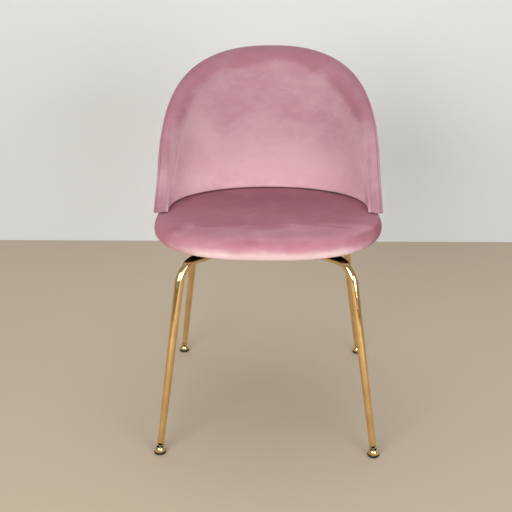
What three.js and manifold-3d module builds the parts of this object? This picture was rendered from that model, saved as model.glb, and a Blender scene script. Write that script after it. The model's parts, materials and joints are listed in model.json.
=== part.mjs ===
// A velvet side chair: a round seat pad, a domed back wrapped round it and four bent tube legs.
// Millimetres, +Z up. The chair faces -Y and stands on Z = 0.
import * as THREE from 'three';
import { mergeVertices } from 'three/addons/utils/BufferGeometryUtils.js';
import Module from 'manifold-3d';

const wasm = await Module();
wasm.setup();

// Fits shared by every piece
const TOUCH_GAP = 0.3;
const CUT_OVERRUN = 5;
const VELVET_THICKNESS = 1.6;

// Seat pad, measured over its velvet
const SEAT_HALF_WIDTH = 243;
const SEAT_FRONT_DEPTH = 210;
const SEAT_REAR_DEPTH = 218;
const SEAT_FRONT_POWER = 2.5;
const SEAT_REAR_POWER = 2;
const SEAT_UNDERSIDE_Z = 411;
const SEAT_RIM_Z = 464;
const SEAT_CROWN = 7;
const SEAT_WIDEST_SHARE = 0.55;
const SEAT_FRONT_ROLL = 30;
const SEAT_REAR_ROLL = 8;
const SEAT_BOTTOM_ROLL = 34;
const SEAT_SIDE_POWER = 2.2;
const SEAT_HEM_WIDTH = 56;
const CROWN_POWER = 1.5;
const CROWN_RING_SHARES = [0.35, 0.7, 0.9];
const ROLL_TOP_STEPS = 4;
const ROLL_BOTTOM_STEPS = 4;
const SEAT_SIDES = 36;

// Seat board and the cloth under it
const PAN_THICKNESS = 12;
const PAN_INSET = 36;
const DUST_COVER_THICKNESS = 1;
const DUST_COVER_INSET = 42;

// Back shell: a curved panel, its plan a superellipse about the seat's middle
const SHELL_BESIDE_SEAT = -9;
const SHELL_BEHIND_SEAT = 14;
const SHELL_HALF_WIDTH = SEAT_HALF_WIDTH + SHELL_BESIDE_SEAT;
const SHELL_DEPTH = SEAT_REAR_DEPTH + SHELL_BEHIND_SEAT;
const SHELL_PLAN_POWER = 2.15;
const SHELL_THICKNESS = 10;
const PANEL_TABLE_STEPS = 600;
const RECLINE_DEGREES = 9.5;
const WING_FLARE = 1;
const FLARE_TOP_ABOVE_RIM = 66;
const FLARE_TOP_Z = SEAT_RIM_Z + FLARE_TOP_ABOVE_RIM;
const FLARE_HEIGHT = 70;
const FLARE_START_LENGTH = 150;
const FLARE_RISE_LENGTH = 110;

// Outline of the back, s along the panel and z up
const BACK_TOP_Z = 788;
const SPRING_ABOVE_RIM = 3;
const BACK_SPRING_Z = SEAT_RIM_Z + SPRING_ABOVE_RIM;
const DOME_HALF_LENGTH = 358;
const DOME_SIDE_POWER = 2.35;
const DOME_TOP_POWER = 1.74;
const TOE_REACH = 44;
const TOE_HEIGHT = 80;
const WING_CORNER_POWER = 9;
const BACK_ABOVE_RIM = 1.2;
const TONGUE_ABOVE_UNDERSIDE = 8;
const BACK_LOWER_Z = SEAT_RIM_Z + BACK_ABOVE_RIM;
const TONGUE_LOWER_Z = SEAT_UNDERSIDE_Z + TONGUE_ABOVE_UNDERSIDE;
const TONGUE_HALF_WIDTH = 105;
const TONGUE_RISE_LENGTH = 85;
const COVER_RISE_LENGTH = 190;
const BACK_COLUMNS = 24;
const COLUMN_CROWDING = 1.9;
const BACK_ROWS = 3;

// Padding of the back
const PAD_THICKNESS = 34;
const WING_PAD_THICKNESS = 16;
const PAD_CROWN = 4;
const PAD_EDGE_ROLL = 38;
const PAD_LOWER_ROLL = 9;
const ROLL_GROWTH_HEIGHT = 80;
const PAD_ROLL_STEPS = 4;
const PAD_GAP = 0.5;
const PAD_LOWER_GAP = 1.3;
const FOAM_GAP = 1.2;
const REAR_PAD_THICKNESS = 6;
const REAR_EDGE_ROLL = 6;
const REAR_ROLL_STEPS = 3;
const FOLD_BEYOND_TONGUE = 20;
const WELT_RADIUS = 2.7;
const WELT_SIDES = 5;

// Leg tubes: the corner is where the two straight stretches of a leg would cross
const LEG_TOP_RADIUS = 9.5;
const LEG_FOOT_RADIUS = 7;
const LEG_WALL = 1.5;
const LEG_BEND_RADIUS = 47;
const LEG_SIDES = 12;
const LEG_BEND_STEPS = 7;
const FRONT_FOOT = { across: 223, along: -227 };
const FRONT_CORNER = { across: 170, along: -165 };
const REAR_FOOT = { across: 230.5, along: 252 };
const REAR_CORNER = { across: 175, along: 185 };
const LEG_END_FROM_HUB = 34;

// Hub plate in the notched inner ends of the tubes
const HUB_RADIUS = 58;
const HUB_THICKNESS = 6;
const HUB_BOLT_CIRCLE_RADIUS = 46;
const HUB_SIDES = 28;

// Bolts and threaded inserts
const BOLT_RADIUS = 3;
const BOLT_HOLE_RADIUS = 3.5;
const BOLT_HEAD_RADIUS = 5.5;
const BOLT_HEAD_HEIGHT = 3.3;
const HEAD_CROWN_SHARE = 0.6;
const HEAD_RIM_SHARE = 0.33;
const BOLT_INTO_INSERT = 8;
const INSERT_RADIUS = 4.8;
const INSERT_LENGTH = 11;
const BOLT_SIDES = 8;
const INSERT_SIDES = 10;
const OUTER_BOLT_FROM_CORNER = 92;

// Brackets between the seat board and the back shell
const BRACKET_WIDTH = 30;
const BRACKET_THICKNESS = 2.5;
const BRACKET_RUN = 62;
const BRACKET_RISE = 34;
const BRACKET_ALONG_PANEL = 62;
const BRACKET_OFF_SHELL = 2.6;
const SCREW_RADIUS = 2;
const SCREW_HOLE_RADIUS = 2.4;
const SCREW_HEAD_RADIUS = 4;
const SCREW_HEAD_HEIGHT = 2.4;
const SCREW_INTO_WOOD = 8;
const SCREW_HALF_SPACING = 9;
const SCREW_FROM_BRACKET_END = 9;

// Tilting glides
const GLIDE_RADIUS = 12.4;
const GLIDE_HEIGHT = 5.4;
const GLIDE_EDGE = 1.2;
const BALL_HEIGHT = 9.5;
const BALL_RADIUS = 4.2;
const SOCKET_CLEARANCE = 0.5;
const SOCKET_WALL = 1.8;
const SOCKET_RISE = 2.2;
const BELL_BASE_RADIUS = 11.6;
const BELL_TOP_RADIUS = 8.6;
const BELL_TOP_Z = 15.6;
const BELL_MOUTH_RADIUS = 6.9;
const BELL_WALL = 1.2;
const BELL_SHOULDER_HEIGHT_SHARE = 0.55;
const BELL_SHOULDER_WIDTH_SHARE = 0.75;
const NECK_RADIUS = 2.6;
const LEG_END_FROM_BALL = 9.8;
const PLUG_FLANGE_THICKNESS = 1.2;
const PLUG_LENGTH = 14;
const BALL_STEPS = 4;
const SOCKET_STEPS = 3;
const GLIDE_SIDES = 12;
const STUD_SIDES = 8;

const PINK_VELVET = { color: 0xc08d9b, roughness: 0.85, metalness: 0 };
const FOAM = { color: 0xe6dcc0, roughness: 0.95, metalness: 0 };
const PLYWOOD = { color: 0xc29a68, roughness: 0.7, metalness: 0 };
const DUST_CLOTH = { color: 0x191919, roughness: 0.95, metalness: 0 };
const GOLD = { color: 0xc9a25c, roughness: 0.12, metalness: 1 };
const ZINC = { color: 0xb9bbbd, roughness: 0.35, metalness: 1 };
const BLACK_STEEL = { color: 0x1c1c1e, roughness: 0.45, metalness: 0.6 };
const BLACK_NYLON = { color: 0x141414, roughness: 0.5, metalness: 0 };

const chair = new THREE.Group();

function addPiece(name, geometry, look) {
  const mesh = new THREE.Mesh(geometry, new THREE.MeshStandardMaterial(look));
  mesh.name = name;
  chair.add(mesh);
  return mesh;
}

function mix(start, end, share) {
  return start + (end - start) * share;
}

function smoothStep(value) {
  const t = Math.min(1, Math.max(0, value));
  return t * t * (3 - 2 * t);
}

function signedPower(value, power) {
  return Math.sign(value) * Math.abs(value) ** power;
}

// Closed solids from rings of points

function geometryOf(points, triangles) {
  const geometry = new THREE.BufferGeometry();
  const flat = points.flatMap((point) => [point.x, point.y, point.z]);
  geometry.setAttribute('position', new THREE.Float32BufferAttribute(flat, 3));
  geometry.setIndex(triangles.flat());
  return facingOut(geometry);
}

function signedVolume(geometry) {
  const position = geometry.getAttribute('position');
  const index = geometry.getIndex();
  const corners = [new THREE.Vector3(), new THREE.Vector3(), new THREE.Vector3()];
  let volume = 0;
  for (let i = 0; i < index.count; i += 3) {
    corners.forEach((corner, k) => corner.fromBufferAttribute(position, index.getX(i + k)));
    volume += corners[0].dot(corners[1].cross(corners[2])) / 6;
  }
  return volume;
}

function facingOut(geometry) {
  if (signedVolume(geometry) > 0) {
    return geometry;
  }
  const turned = [];
  const index = geometry.getIndex();
  for (let i = 0; i < index.count; i += 3) {
    turned.push(index.getX(i), index.getX(i + 2), index.getX(i + 1));
  }
  geometry.setIndex(turned);
  return geometry;
}

function spreadOf(ring) {
  const middle = ring.reduce((sum, point) => sum.add(point), new THREE.Vector3());
  middle.divideScalar(ring.length);
  return ring.reduce((sum, point) => sum + point.distanceTo(middle), 0);
}

// Two triangles for each side between neighbouring rings. The diagonal leaves the smaller ring and
// mirrors across the chair's middle plane, so layers that lie on each other have the same facets.
function bridge(rings, first, second) {
  const sides = rings[first].length;
  const swapped = spreadOf(rings[first]) > spreadOf(rings[second]);
  const triangles = [];
  for (let i = 0; i < sides; i += 1) {
    const next = (i + 1) % sides;
    const [a, b] = [first * sides + i, first * sides + next];
    const [c, d] = [second * sides + next, second * sides + i];
    const leftOfMiddle = rings[first][i].x + rings[first][next].x < 0;
    triangles.push(...(swapped === leftOfMiddle ? [[a, b, c], [a, c, d]] : [[a, b, d], [b, c, d]]));
  }
  return triangles;
}

// A ball-like body: rings that start and end at a single point
function closedByPoles(startPole, rings, endPole) {
  const sides = rings[0].length;
  const points = [...rings.flat(), startPole, endPole];
  const start = points.length - 2;
  const end = points.length - 1;
  const last = (rings.length - 1) * sides;
  const triangles = rings.slice(1).flatMap((_, ring) => bridge(rings, ring, ring + 1));
  for (let i = 0; i < sides; i += 1) {
    const next = (i + 1) % sides;
    triangles.push([start, next, i], [end, last + i, last + next]);
  }
  return geometryOf(points, triangles);
}

// Triangles that fill a ring of the back. A ring runs from the right tip over the top to the left
// tip and back below; each column joins the top point and the bottom point at the same place.
function fillTriangles(ringStart, insideStart) {
  const sides = 2 * BACK_COLUMNS;
  const column = (i) => Array.from({ length: BACK_ROWS + 1 }, (_, row) => {
    if (row === 0 || i === 0 || i === BACK_COLUMNS) {
      return ringStart + i;
    }
    if (row === BACK_ROWS) {
      return ringStart + sides - i;
    }
    return insideStart + (i - 1) * (BACK_ROWS - 1) + row - 1;
  });
  const triangles = [];
  for (let i = 0; i < BACK_COLUMNS; i += 1) {
    const [right, left] = [column(i), column(i + 1)];
    for (let row = 0; row < BACK_ROWS; row += 1) {
      const [a, b, c, d] = [right[row], left[row], left[row + 1], right[row + 1]];
      const rightHalf = i < BACK_COLUMNS / 2;
      triangles.push(...(rightHalf ? [[a, b, c], [a, c, d]] : [[a, b, d], [b, c, d]]));
    }
  }
  return triangles.filter(([a, b, c]) => a !== b && b !== c && c !== a);
}

// A layer of the back: rings between two filled faces
function closedByFaces(startInside, rings, endInside) {
  const points = [...rings.flat(), ...startInside, ...endInside];
  const startFrom = points.length - startInside.length - endInside.length;
  const lastRing = (rings.length - 1) * rings[0].length;
  return geometryOf(points, [
    ...rings.slice(1).flatMap((_, ring) => bridge(rings, ring, ring + 1)),
    ...fillTriangles(0, startFrom).map(([a, b, c]) => [a, c, b]),
    ...fillTriangles(lastRing, startFrom + startInside.length),
  ]);
}

// A ring-like body: the last ring joins the first again
function closedByLoop(rings) {
  const triangles = rings.flatMap((_, ring) => bridge(rings, ring, (ring + 1) % rings.length));
  return geometryOf(rings.flat(), triangles);
}

// Joins and cuts

function toSolid(geometry) {
  const bare = geometry.clone();
  bare.deleteAttribute('normal');
  bare.deleteAttribute('uv');
  const merged = mergeVertices(bare);
  const vertProperties = Float32Array.from(merged.getAttribute('position').array);
  const triVerts = Uint32Array.from(merged.getIndex().array);
  return new wasm.Manifold(new wasm.Mesh({ numProp: 3, vertProperties, triVerts }));
}

function fromSolid(solid) {
  const mesh = solid.getMesh();
  const geometry = new THREE.BufferGeometry();
  geometry.setAttribute('position', new THREE.Float32BufferAttribute(mesh.vertProperties, 3));
  geometry.setIndex(new THREE.Uint32BufferAttribute(mesh.triVerts, 1));
  return geometry;
}

function cut(geometry, cutters) {
  let solid = toSolid(geometry);
  for (const cutter of cutters) {
    solid = solid.subtract(toSolid(cutter));
  }
  return fromSolid(solid);
}

// A turned body about +Z, its profile given as [radius, height]
function turned(profile, sides) {
  const points = profile.map(([radius, height]) => new THREE.Vector2(radius, height));
  return new THREE.LatheGeometry(points, sides).rotateX(Math.PI / 2);
}

function rod(radius, bottom, top, sides) {
  return turned([[0, bottom], [radius, bottom], [radius, top], [0, top]], sides);
}

// Seat pad

function seatPlan(angle, halfWidth, frontDepth, rearDepth) {
  const front = Math.sin(angle) < 0;
  const power = front ? SEAT_FRONT_POWER : SEAT_REAR_POWER;
  const depth = front ? frontDepth : rearDepth;
  return [
    halfWidth * signedPower(Math.cos(angle), 2 / power),
    depth * signedPower(Math.sin(angle), 2 / power),
  ];
}

// A ring round the seat. Its radius, as measured to the side, is a length or depends on the angle.
function seatRing(radius, height) {
  return Array.from({ length: SEAT_SIDES }, (_, i) => {
    const angle = (2 * Math.PI * i) / SEAT_SIDES;
    const reach = typeof radius === 'function' ? radius(angle) : radius;
    const inset = SEAT_HALF_WIDTH - reach;
    const share = reach / SEAT_HALF_WIDTH;
    const frontDepth = Math.max(SEAT_FRONT_DEPTH - inset, SEAT_FRONT_DEPTH * share);
    const rearDepth = Math.max(SEAT_REAR_DEPTH - inset, SEAT_REAR_DEPTH * share);
    return new THREE.Vector3(...seatPlan(angle, reach, frontDepth, rearDepth), height);
  });
}

// Width of the rounding at the seat's upper edge: tight under the back, wide at the front
function topRoll(angle) {
  return mix(SEAT_REAR_ROLL, SEAT_FRONT_ROLL, smoothStep(-Math.sin(angle)));
}

function bottomRoll() {
  return SEAT_BOTTOM_ROLL;
}

// A quarter of the seat's rounded edge, as [radius, height]; the turn runs between -1 and 1
function edgeRoll(steps, widthAt, rise, drawnIn, turnFrom, turnTo) {
  return Array.from({ length: steps }, (_, i) => {
    const turn = (Math.PI / 2) * mix(turnFrom, turnTo, i / steps);
    const across = Math.cos(turn) ** (2 / SEAT_SIDE_POWER);
    return [
      (angle) => SEAT_HALF_WIDTH - widthAt(angle) * (1 - across) - drawnIn * across,
      widestZ + (rise - drawnIn) * signedPower(Math.sin(turn), 2 / SEAT_SIDE_POWER),
    ];
  });
}

// The seat's section from the crown to the bottom edge, drawn in by a thickness
function seatSection(drawnIn) {
  const crown = CROWN_RING_SHARES.map((share) => {
    const swell = Math.cos((Math.PI / 2) * share) ** CROWN_POWER;
    return [
      (angle) => (SEAT_HALF_WIDTH - topRoll(angle)) * share,
      SEAT_RIM_Z + SEAT_CROWN * swell - drawnIn,
    ];
  });
  return [
    ...crown,
    ...edgeRoll(ROLL_TOP_STEPS, topRoll, SEAT_RIM_Z - widestZ, drawnIn, 1, 0),
    ...edgeRoll(ROLL_BOTTOM_STEPS, bottomRoll, widestZ - SEAT_UNDERSIDE_Z, drawnIn, 0, -1),
  ];
}

const widestZ = mix(SEAT_UNDERSIDE_Z, SEAT_RIM_Z, SEAT_WIDEST_SHARE);
const hemUnderside = SEAT_UNDERSIDE_Z + DUST_COVER_THICKNESS + TOUCH_GAP;
const hemTop = hemUnderside + VELVET_THICKNESS;
const panUnderside = hemTop + TOUCH_GAP;
const panTop = panUnderside + PAN_THICKNESS;
const panRadius = SEAT_HALF_WIDTH - PAN_INSET;
const hemRadius = SEAT_HALF_WIDTH - SEAT_HEM_WIDTH;
const hemBend = SEAT_HALF_WIDTH - SEAT_BOTTOM_ROLL;

function poleAt(height) {
  return new THREE.Vector3(0, 0, height);
}

function seatCover() {
  const outer = seatSection(0);
  const inner = seatSection(VELVET_THICKNESS).reverse();
  const rings = [
    ...outer,
    [hemBend, hemUnderside],
    [hemRadius, hemUnderside],
    [hemRadius, hemTop],
    [hemBend, hemTop],
    ...inner,
  ];
  return closedByPoles(
    poleAt(SEAT_RIM_Z + SEAT_CROWN),
    rings.map(([radius, height]) => seatRing(radius, height)),
    poleAt(SEAT_RIM_Z + SEAT_CROWN - VELVET_THICKNESS),
  );
}

function seatFoam() {
  const drawnIn = VELVET_THICKNESS + TOUCH_GAP;
  const rings = [
    ...seatSection(drawnIn),
    [hemBend, panUnderside],
    [panRadius + TOUCH_GAP, panUnderside],
    [panRadius + TOUCH_GAP, panTop + TOUCH_GAP],
  ];
  return closedByPoles(
    poleAt(SEAT_RIM_Z + SEAT_CROWN - drawnIn),
    rings.map(([radius, height]) => seatRing(radius, height)),
    poleAt(panTop + TOUCH_GAP),
  );
}

function seatBoard(radius, bottom, top) {
  return closedByPoles(poleAt(bottom), [seatRing(radius, bottom), seatRing(radius, top)], poleAt(top));
}

// Curved panel of the back: s runs along the shell's middle in plan, depth is towards the sitter

function panelTable() {
  const reach = (2 * Math.PI) / 3;
  const places = [];
  let length = 0;
  for (let i = 0; i <= PANEL_TABLE_STEPS; i += 1) {
    const angle = (reach * i) / PANEL_TABLE_STEPS;
    const x = SHELL_HALF_WIDTH * signedPower(Math.sin(angle), 2 / SHELL_PLAN_POWER);
    const y = SHELL_DEPTH * signedPower(Math.cos(angle), 2 / SHELL_PLAN_POWER);
    const before = places[i - 1];
    length += before ? Math.hypot(x - before.x, y - before.y) : 0;
    places.push({ length, x, y });
  }
  return places;
}

const panelPlaces = panelTable();

function panelPlan(s) {
  const length = Math.abs(s);
  const found = panelPlaces.findIndex((place) => place.length >= length);
  const index = Math.max(1, found);
  const before = panelPlaces[index - 1];
  const after = panelPlaces[index];
  const share = (length - before.length) / (after.length - before.length);
  const side = Math.sign(s) || 1;
  return new THREE.Vector2(side * mix(before.x, after.x, share), mix(before.y, after.y, share));
}

function panelNormal(s) {
  const reach = TOUCH_GAP;
  const along = panelPlan(s + reach).sub(panelPlan(s - reach)).normalize();
  return new THREE.Vector2(along.y, -along.x);
}

function flareAt(s, z) {
  const along = smoothStep((Math.abs(s) - FLARE_START_LENGTH) / FLARE_RISE_LENGTH);
  return WING_FLARE * along * smoothStep((FLARE_TOP_Z - z) / FLARE_HEIGHT);
}

function panelPoint(s, z, depth) {
  const plan = panelPlan(s).addScaledVector(panelNormal(s), depth - flareAt(s, z));
  const lean = Math.tan(THREE.MathUtils.degToRad(RECLINE_DEGREES)) * Math.max(0, z - SEAT_RIM_Z);
  return new THREE.Vector3(plan.x, plan.y + lean, z);
}

const wingTip = DOME_HALF_LENGTH + TOE_REACH;

function padLower() {
  return BACK_LOWER_Z;
}

// Lower edge of a layer whose tongue behind the seat rises to the wings over a length
function tongueLower(s, riseLength) {
  const rise = smoothStep((Math.abs(s) - TONGUE_HALF_WIDTH) / riseLength);
  return mix(TONGUE_LOWER_Z, BACK_LOWER_Z, rise);
}

function shellLower(s) {
  return tongueLower(s, TONGUE_RISE_LENGTH);
}

function coverLower(s) {
  return tongueLower(s, COVER_RISE_LENGTH);
}

// Top point of a column of the back, from the right tip to the left one
function domePoint(column) {
  const place = 1 - (2 * column) / BACK_COLUMNS;
  const side = Math.sign(place);
  const share = 1 - (1 - Math.abs(place)) ** COLUMN_CROWDING;
  const height = Math.max(0, 1 - share ** DOME_SIDE_POWER) ** (1 / DOME_TOP_POWER);
  const z = mix(BACK_SPRING_Z, BACK_TOP_Z, height);
  const toe = TOE_REACH * Math.max(0, 1 - (z - BACK_SPRING_Z) / TOE_HEIGHT) ** 2;
  return [side * (DOME_HALF_LENGTH * share + toe), z];
}

function directionTo(from, to) {
  const length = Math.hypot(to[0] - from[0], to[1] - from[1]);
  return [(to[0] - from[0]) / length, (to[1] - from[1]) / length];
}

// Places round the back with s, z and the direction in: over the dome and back along a lower edge
function backOutline(lowerEdge) {
  const dome = Array.from({ length: BACK_COLUMNS + 1 }, (_, column) => domePoint(column));
  const lower = dome.slice(1, -1).reverse().map(([s]) => {
    const drop = Math.sqrt(1 - Math.abs(s / wingTip) ** WING_CORNER_POWER);
    return [s, mix(BACK_SPRING_Z, lowerEdge(s), drop)];
  });
  const places = [...dome, ...lower];
  return places.map((place, index) => {
    const arriving = directionTo(places.at(index - 1), place);
    const leaving = directionTo(place, places[(index + 1) % places.length]);
    const turn = [arriving[0] + leaving[0], arriving[1] + leaving[1]];
    const length = Math.hypot(...turn);
    return { s: place[0], z: place[1], in: [-turn[1] / length, turn[0] / length] };
  });
}

function moveIn(place, inset) {
  return [place.s + place.in[0] * inset, place.z + place.in[1] * inset];
}

const padOutline = backOutline(padLower);
const shellOutline = backOutline(shellLower);
const coverOutline = backOutline(coverLower);
const shellFace = SHELL_THICKNESS / 2;

function isLower(index) {
  return index > BACK_COLUMNS || index === 0;
}

function padRoll(index) {
  const height = padOutline[index].z - BACK_SPRING_Z;
  const growth = isLower(index) ? 0 : smoothStep(height / ROLL_GROWTH_HEIGHT);
  return mix(PAD_LOWER_ROLL, PAD_EDGE_ROLL, growth);
}

function padGap(index) {
  return isLower(index) ? PAD_LOWER_GAP : PAD_GAP;
}

function padThickness(s) {
  return mix(PAD_THICKNESS, WING_PAD_THICKNESS, smoothStep(Math.abs(s) / DOME_HALF_LENGTH));
}

// Where the rounded edge of the front padding begins; all layers share this ring and the points
// inside it, so that their facets run alike
const facePlaces = padOutline.map((place, index) => moveIn(place, padRoll(index)));

const insidePlaces = facePlaces.slice(1, BACK_COLUMNS).flatMap((top, column) => {
  const bottom = facePlaces[facePlaces.length - 1 - column];
  return Array.from({ length: BACK_ROWS - 1 }, (_, row) => {
    const share = (row + 1) / BACK_ROWS;
    const swell = Math.sin(Math.PI * share) * (1 - (top[0] / DOME_HALF_LENGTH) ** 2);
    return { s: mix(top[0], bottom[0], share), z: mix(top[1], bottom[1], share), swell };
  });
});

function faceRing(depthAt) {
  return facePlaces.map(([s, z]) => panelPoint(s, z, depthAt(s)));
}

function insidePoints(depthAt) {
  return insidePlaces.map(({ s, z, swell }) => panelPoint(s, z, depthAt(s, swell)));
}

// The rounded front edge, drawn in by a thickness, from the face outwards
function frontRollRings(drawnIn) {
  return Array.from({ length: PAD_ROLL_STEPS + 1 }, (_, step) => {
    const angle = (Math.PI / 2) * (step / PAD_ROLL_STEPS);
    return padOutline.map((place, index) => {
      const radius = padRoll(index);
      const [s, z] = moveIn(place, radius - (radius - drawnIn) * Math.sin(angle));
      const rise = (padThickness(s) - padGap(index) - drawnIn) * Math.cos(angle);
      return panelPoint(s, z, shellFace + padGap(index) + rise);
    });
  });
}

function frontInside(drawnIn) {
  return insidePoints((s, swell) => shellFace + padThickness(s) + PAD_CROWN * swell - drawnIn);
}

// The hem of the front cover, which folds round the shell's edge except over its tongue
function skirtRing(inset) {
  const foldStart = TONGUE_HALF_WIDTH + TONGUE_RISE_LENGTH + FOLD_BEYOND_TONGUE;
  return padOutline.map((place, index) => {
    const folded = index <= BACK_COLUMNS || Math.abs(place.s) > foldStart;
    const depth = folded ? TOUCH_GAP - shellFace : shellFace + padGap(index) - TOUCH_GAP / 3;
    return panelPoint(...moveIn(place, inset), depth);
  });
}

function backCoverFront() {
  return closedByFaces(
    frontInside(0),
    [
      ...frontRollRings(0),
      skirtRing(0),
      skirtRing(VELVET_THICKNESS),
      ...frontRollRings(VELVET_THICKNESS).reverse(),
    ],
    frontInside(VELVET_THICKNESS),
  );
}

const shellInset = VELVET_THICKNESS + TOUCH_GAP;

function backFoamFront() {
  const drawnIn = VELVET_THICKNESS + FOAM_GAP;
  const depth = () => shellFace + PAD_GAP;
  return closedByFaces(
    frontInside(drawnIn),
    [...frontRollRings(drawnIn), faceRing(depth)],
    insidePoints(depth),
  );
}

function edgeRing(outline, inset, depth) {
  return outline.map((place) => panelPoint(...moveIn(place, inset), depth));
}

function backShell() {
  return closedByFaces(
    insidePoints(() => shellFace),
    [
      faceRing(() => shellFace),
      edgeRing(shellOutline, shellInset, shellFace),
      edgeRing(shellOutline, shellInset, -shellFace),
      faceRing(() => -shellFace),
    ],
    insidePoints(() => -shellFace),
  );
}

const rearSeam = 2 * WELT_RADIUS - TOUCH_GAP / 2;

function rearRings(drawnIn) {
  const roll = Array.from({ length: REAR_ROLL_STEPS }, (_, step) => {
    const angle = (Math.PI / 2) * ((step + 1) / REAR_ROLL_STEPS);
    const inset = rearSeam + REAR_EDGE_ROLL - (REAR_EDGE_ROLL - drawnIn) * Math.sin(angle);
    const rise = (REAR_PAD_THICKNESS - PAD_GAP - drawnIn) * Math.cos(angle);
    return edgeRing(coverOutline, inset, -(shellFace + PAD_GAP + rise));
  });
  return [faceRing(() => drawnIn - shellFace - REAR_PAD_THICKNESS), ...roll];
}

function rearInside(drawnIn) {
  return insidePoints(() => drawnIn - shellFace - REAR_PAD_THICKNESS);
}

function backCoverRear() {
  return closedByFaces(
    rearInside(0),
    [...rearRings(0), ...rearRings(VELVET_THICKNESS).reverse()],
    rearInside(VELVET_THICKNESS),
  );
}

function backFoamRear() {
  const drawnIn = VELVET_THICKNESS + FOAM_GAP;
  const depth = () => -(shellFace + PAD_GAP);
  return closedByFaces(
    rearInside(drawnIn),
    [...rearRings(drawnIn), faceRing(depth)],
    insidePoints(depth),
  );
}

function backWelt() {
  const depth = -(shellFace + TOUCH_GAP + WELT_RADIUS);
  return closedByLoop(Array.from({ length: WELT_SIDES }, (_, side) => {
    const angle = (2 * Math.PI * side) / WELT_SIDES;
    return edgeRing(
      coverOutline,
      WELT_RADIUS - WELT_RADIUS * Math.cos(angle),
      depth + WELT_RADIUS * Math.sin(angle),
    );
  }));
}

// Legs

const tubeTop = SEAT_UNDERSIDE_Z - TOUCH_GAP;
const tubeLevel = tubeTop - LEG_TOP_RADIUS;

// The four legs by name, with the side and the end of the chair that each stands at
const LEGS = [
  { name: 'front_left', side: -1, foot: FRONT_FOOT, corner: FRONT_CORNER },
  { name: 'front_right', side: 1, foot: FRONT_FOOT, corner: FRONT_CORNER },
  { name: 'rear_left', side: -1, foot: REAR_FOOT, corner: REAR_CORNER },
  { name: 'rear_right', side: 1, foot: REAR_FOOT, corner: REAR_CORNER },
];

function legRoute(leg) {
  const ball = new THREE.Vector3(leg.side * leg.foot.across, leg.foot.along, BALL_HEIGHT);
  const corner = new THREE.Vector3(leg.side * leg.corner.across, leg.corner.along, tubeLevel);
  const up = corner.clone().sub(ball).normalize();
  const hub = new THREE.Vector3(0, 0, tubeLevel);
  const inward = hub.clone().sub(corner).normalize();
  return { ball, corner, up, hub, inward };
}

// Stations along a leg's middle line, each with its place, direction and share of the taper
function legStations(leg) {
  const { ball, corner, up, hub, inward } = legRoute(leg);
  const turn = up.angleTo(inward);
  const tangent = LEG_BEND_RADIUS * Math.tan(turn / 2);
  const bendStart = corner.clone().addScaledVector(up, -tangent);
  const towardsCentre = inward.clone().addScaledVector(up, -Math.cos(turn)).normalize();
  const centre = bendStart.clone().addScaledVector(towardsCentre, LEG_BEND_RADIUS);
  const foot = ball.clone().addScaledVector(up, LEG_END_FROM_BALL);
  const stations = [{ place: foot, direction: up, taper: 0 }];
  for (let step = 0; step <= LEG_BEND_STEPS; step += 1) {
    const angle = (turn * step) / LEG_BEND_STEPS;
    const direction = up.clone().multiplyScalar(Math.cos(angle))
      .addScaledVector(towardsCentre, Math.sin(angle));
    const place = centre.clone()
      .addScaledVector(towardsCentre, -LEG_BEND_RADIUS * Math.cos(angle))
      .addScaledVector(up, LEG_BEND_RADIUS * Math.sin(angle));
    stations.push({ place, direction, taper: 1 });
  }
  const end = hub.clone().addScaledVector(inward, -LEG_END_FROM_HUB);
  stations.push({ place: end, direction: inward, taper: 1 });
  return { stations, across: up.clone().cross(inward).normalize() };
}

function legRing(station, across, drawnIn) {
  const radius = mix(LEG_FOOT_RADIUS, LEG_TOP_RADIUS, station.taper) - drawnIn;
  const over = station.direction.clone().cross(across);
  return Array.from({ length: LEG_SIDES }, (_, i) => {
    const angle = (2 * Math.PI * i) / LEG_SIDES;
    return station.place.clone()
      .addScaledVector(over, radius * Math.cos(angle))
      .addScaledVector(across, radius * Math.sin(angle));
  });
}

function outerBoltPlace(leg) {
  const { corner, inward } = legRoute(leg);
  return corner.clone().addScaledVector(inward, OUTER_BOLT_FROM_CORNER);
}

const hubTop = tubeTop;
const hubUnderside = hubTop - HUB_THICKNESS;

function legTube(leg) {
  const { stations, across } = legStations(leg);
  const outside = stations.map((station) => legRing(station, across, 0));
  const inside = stations.map((station) => legRing(station, across, LEG_WALL)).reverse();
  const tube = closedByLoop([...outside, ...inside]);
  const place = outerBoltPlace(leg);
  const boltHole = rod(BOLT_HOLE_RADIUS, tubeLevel - 2 * LEG_TOP_RADIUS, SEAT_RIM_Z, INSERT_SIDES)
    .translate(place.x, place.y, 0);
  const notch = rod(HUB_RADIUS + TOUCH_GAP, hubUnderside - TOUCH_GAP, SEAT_RIM_Z, HUB_SIDES);
  return cut(tube, [boltHole, notch]);
}

const hubBoltPlaces = [0, 1, 2, 3].map((quarter) => {
  const angle = (Math.PI / 2) * quarter;
  return new THREE.Vector2(Math.cos(angle), Math.sin(angle)).multiplyScalar(HUB_BOLT_CIRCLE_RADIUS);
});

function hubPlate() {
  const plate = rod(HUB_RADIUS, hubUnderside, hubTop, HUB_SIDES);
  const holes = hubBoltPlaces.map((place) => (
    rod(BOLT_HOLE_RADIUS, hubUnderside - CUT_OVERRUN, hubTop + CUT_OVERRUN, INSERT_SIDES)
      .translate(place.x, place.y, 0)
  ));
  return cut(plate, holes);
}

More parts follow.
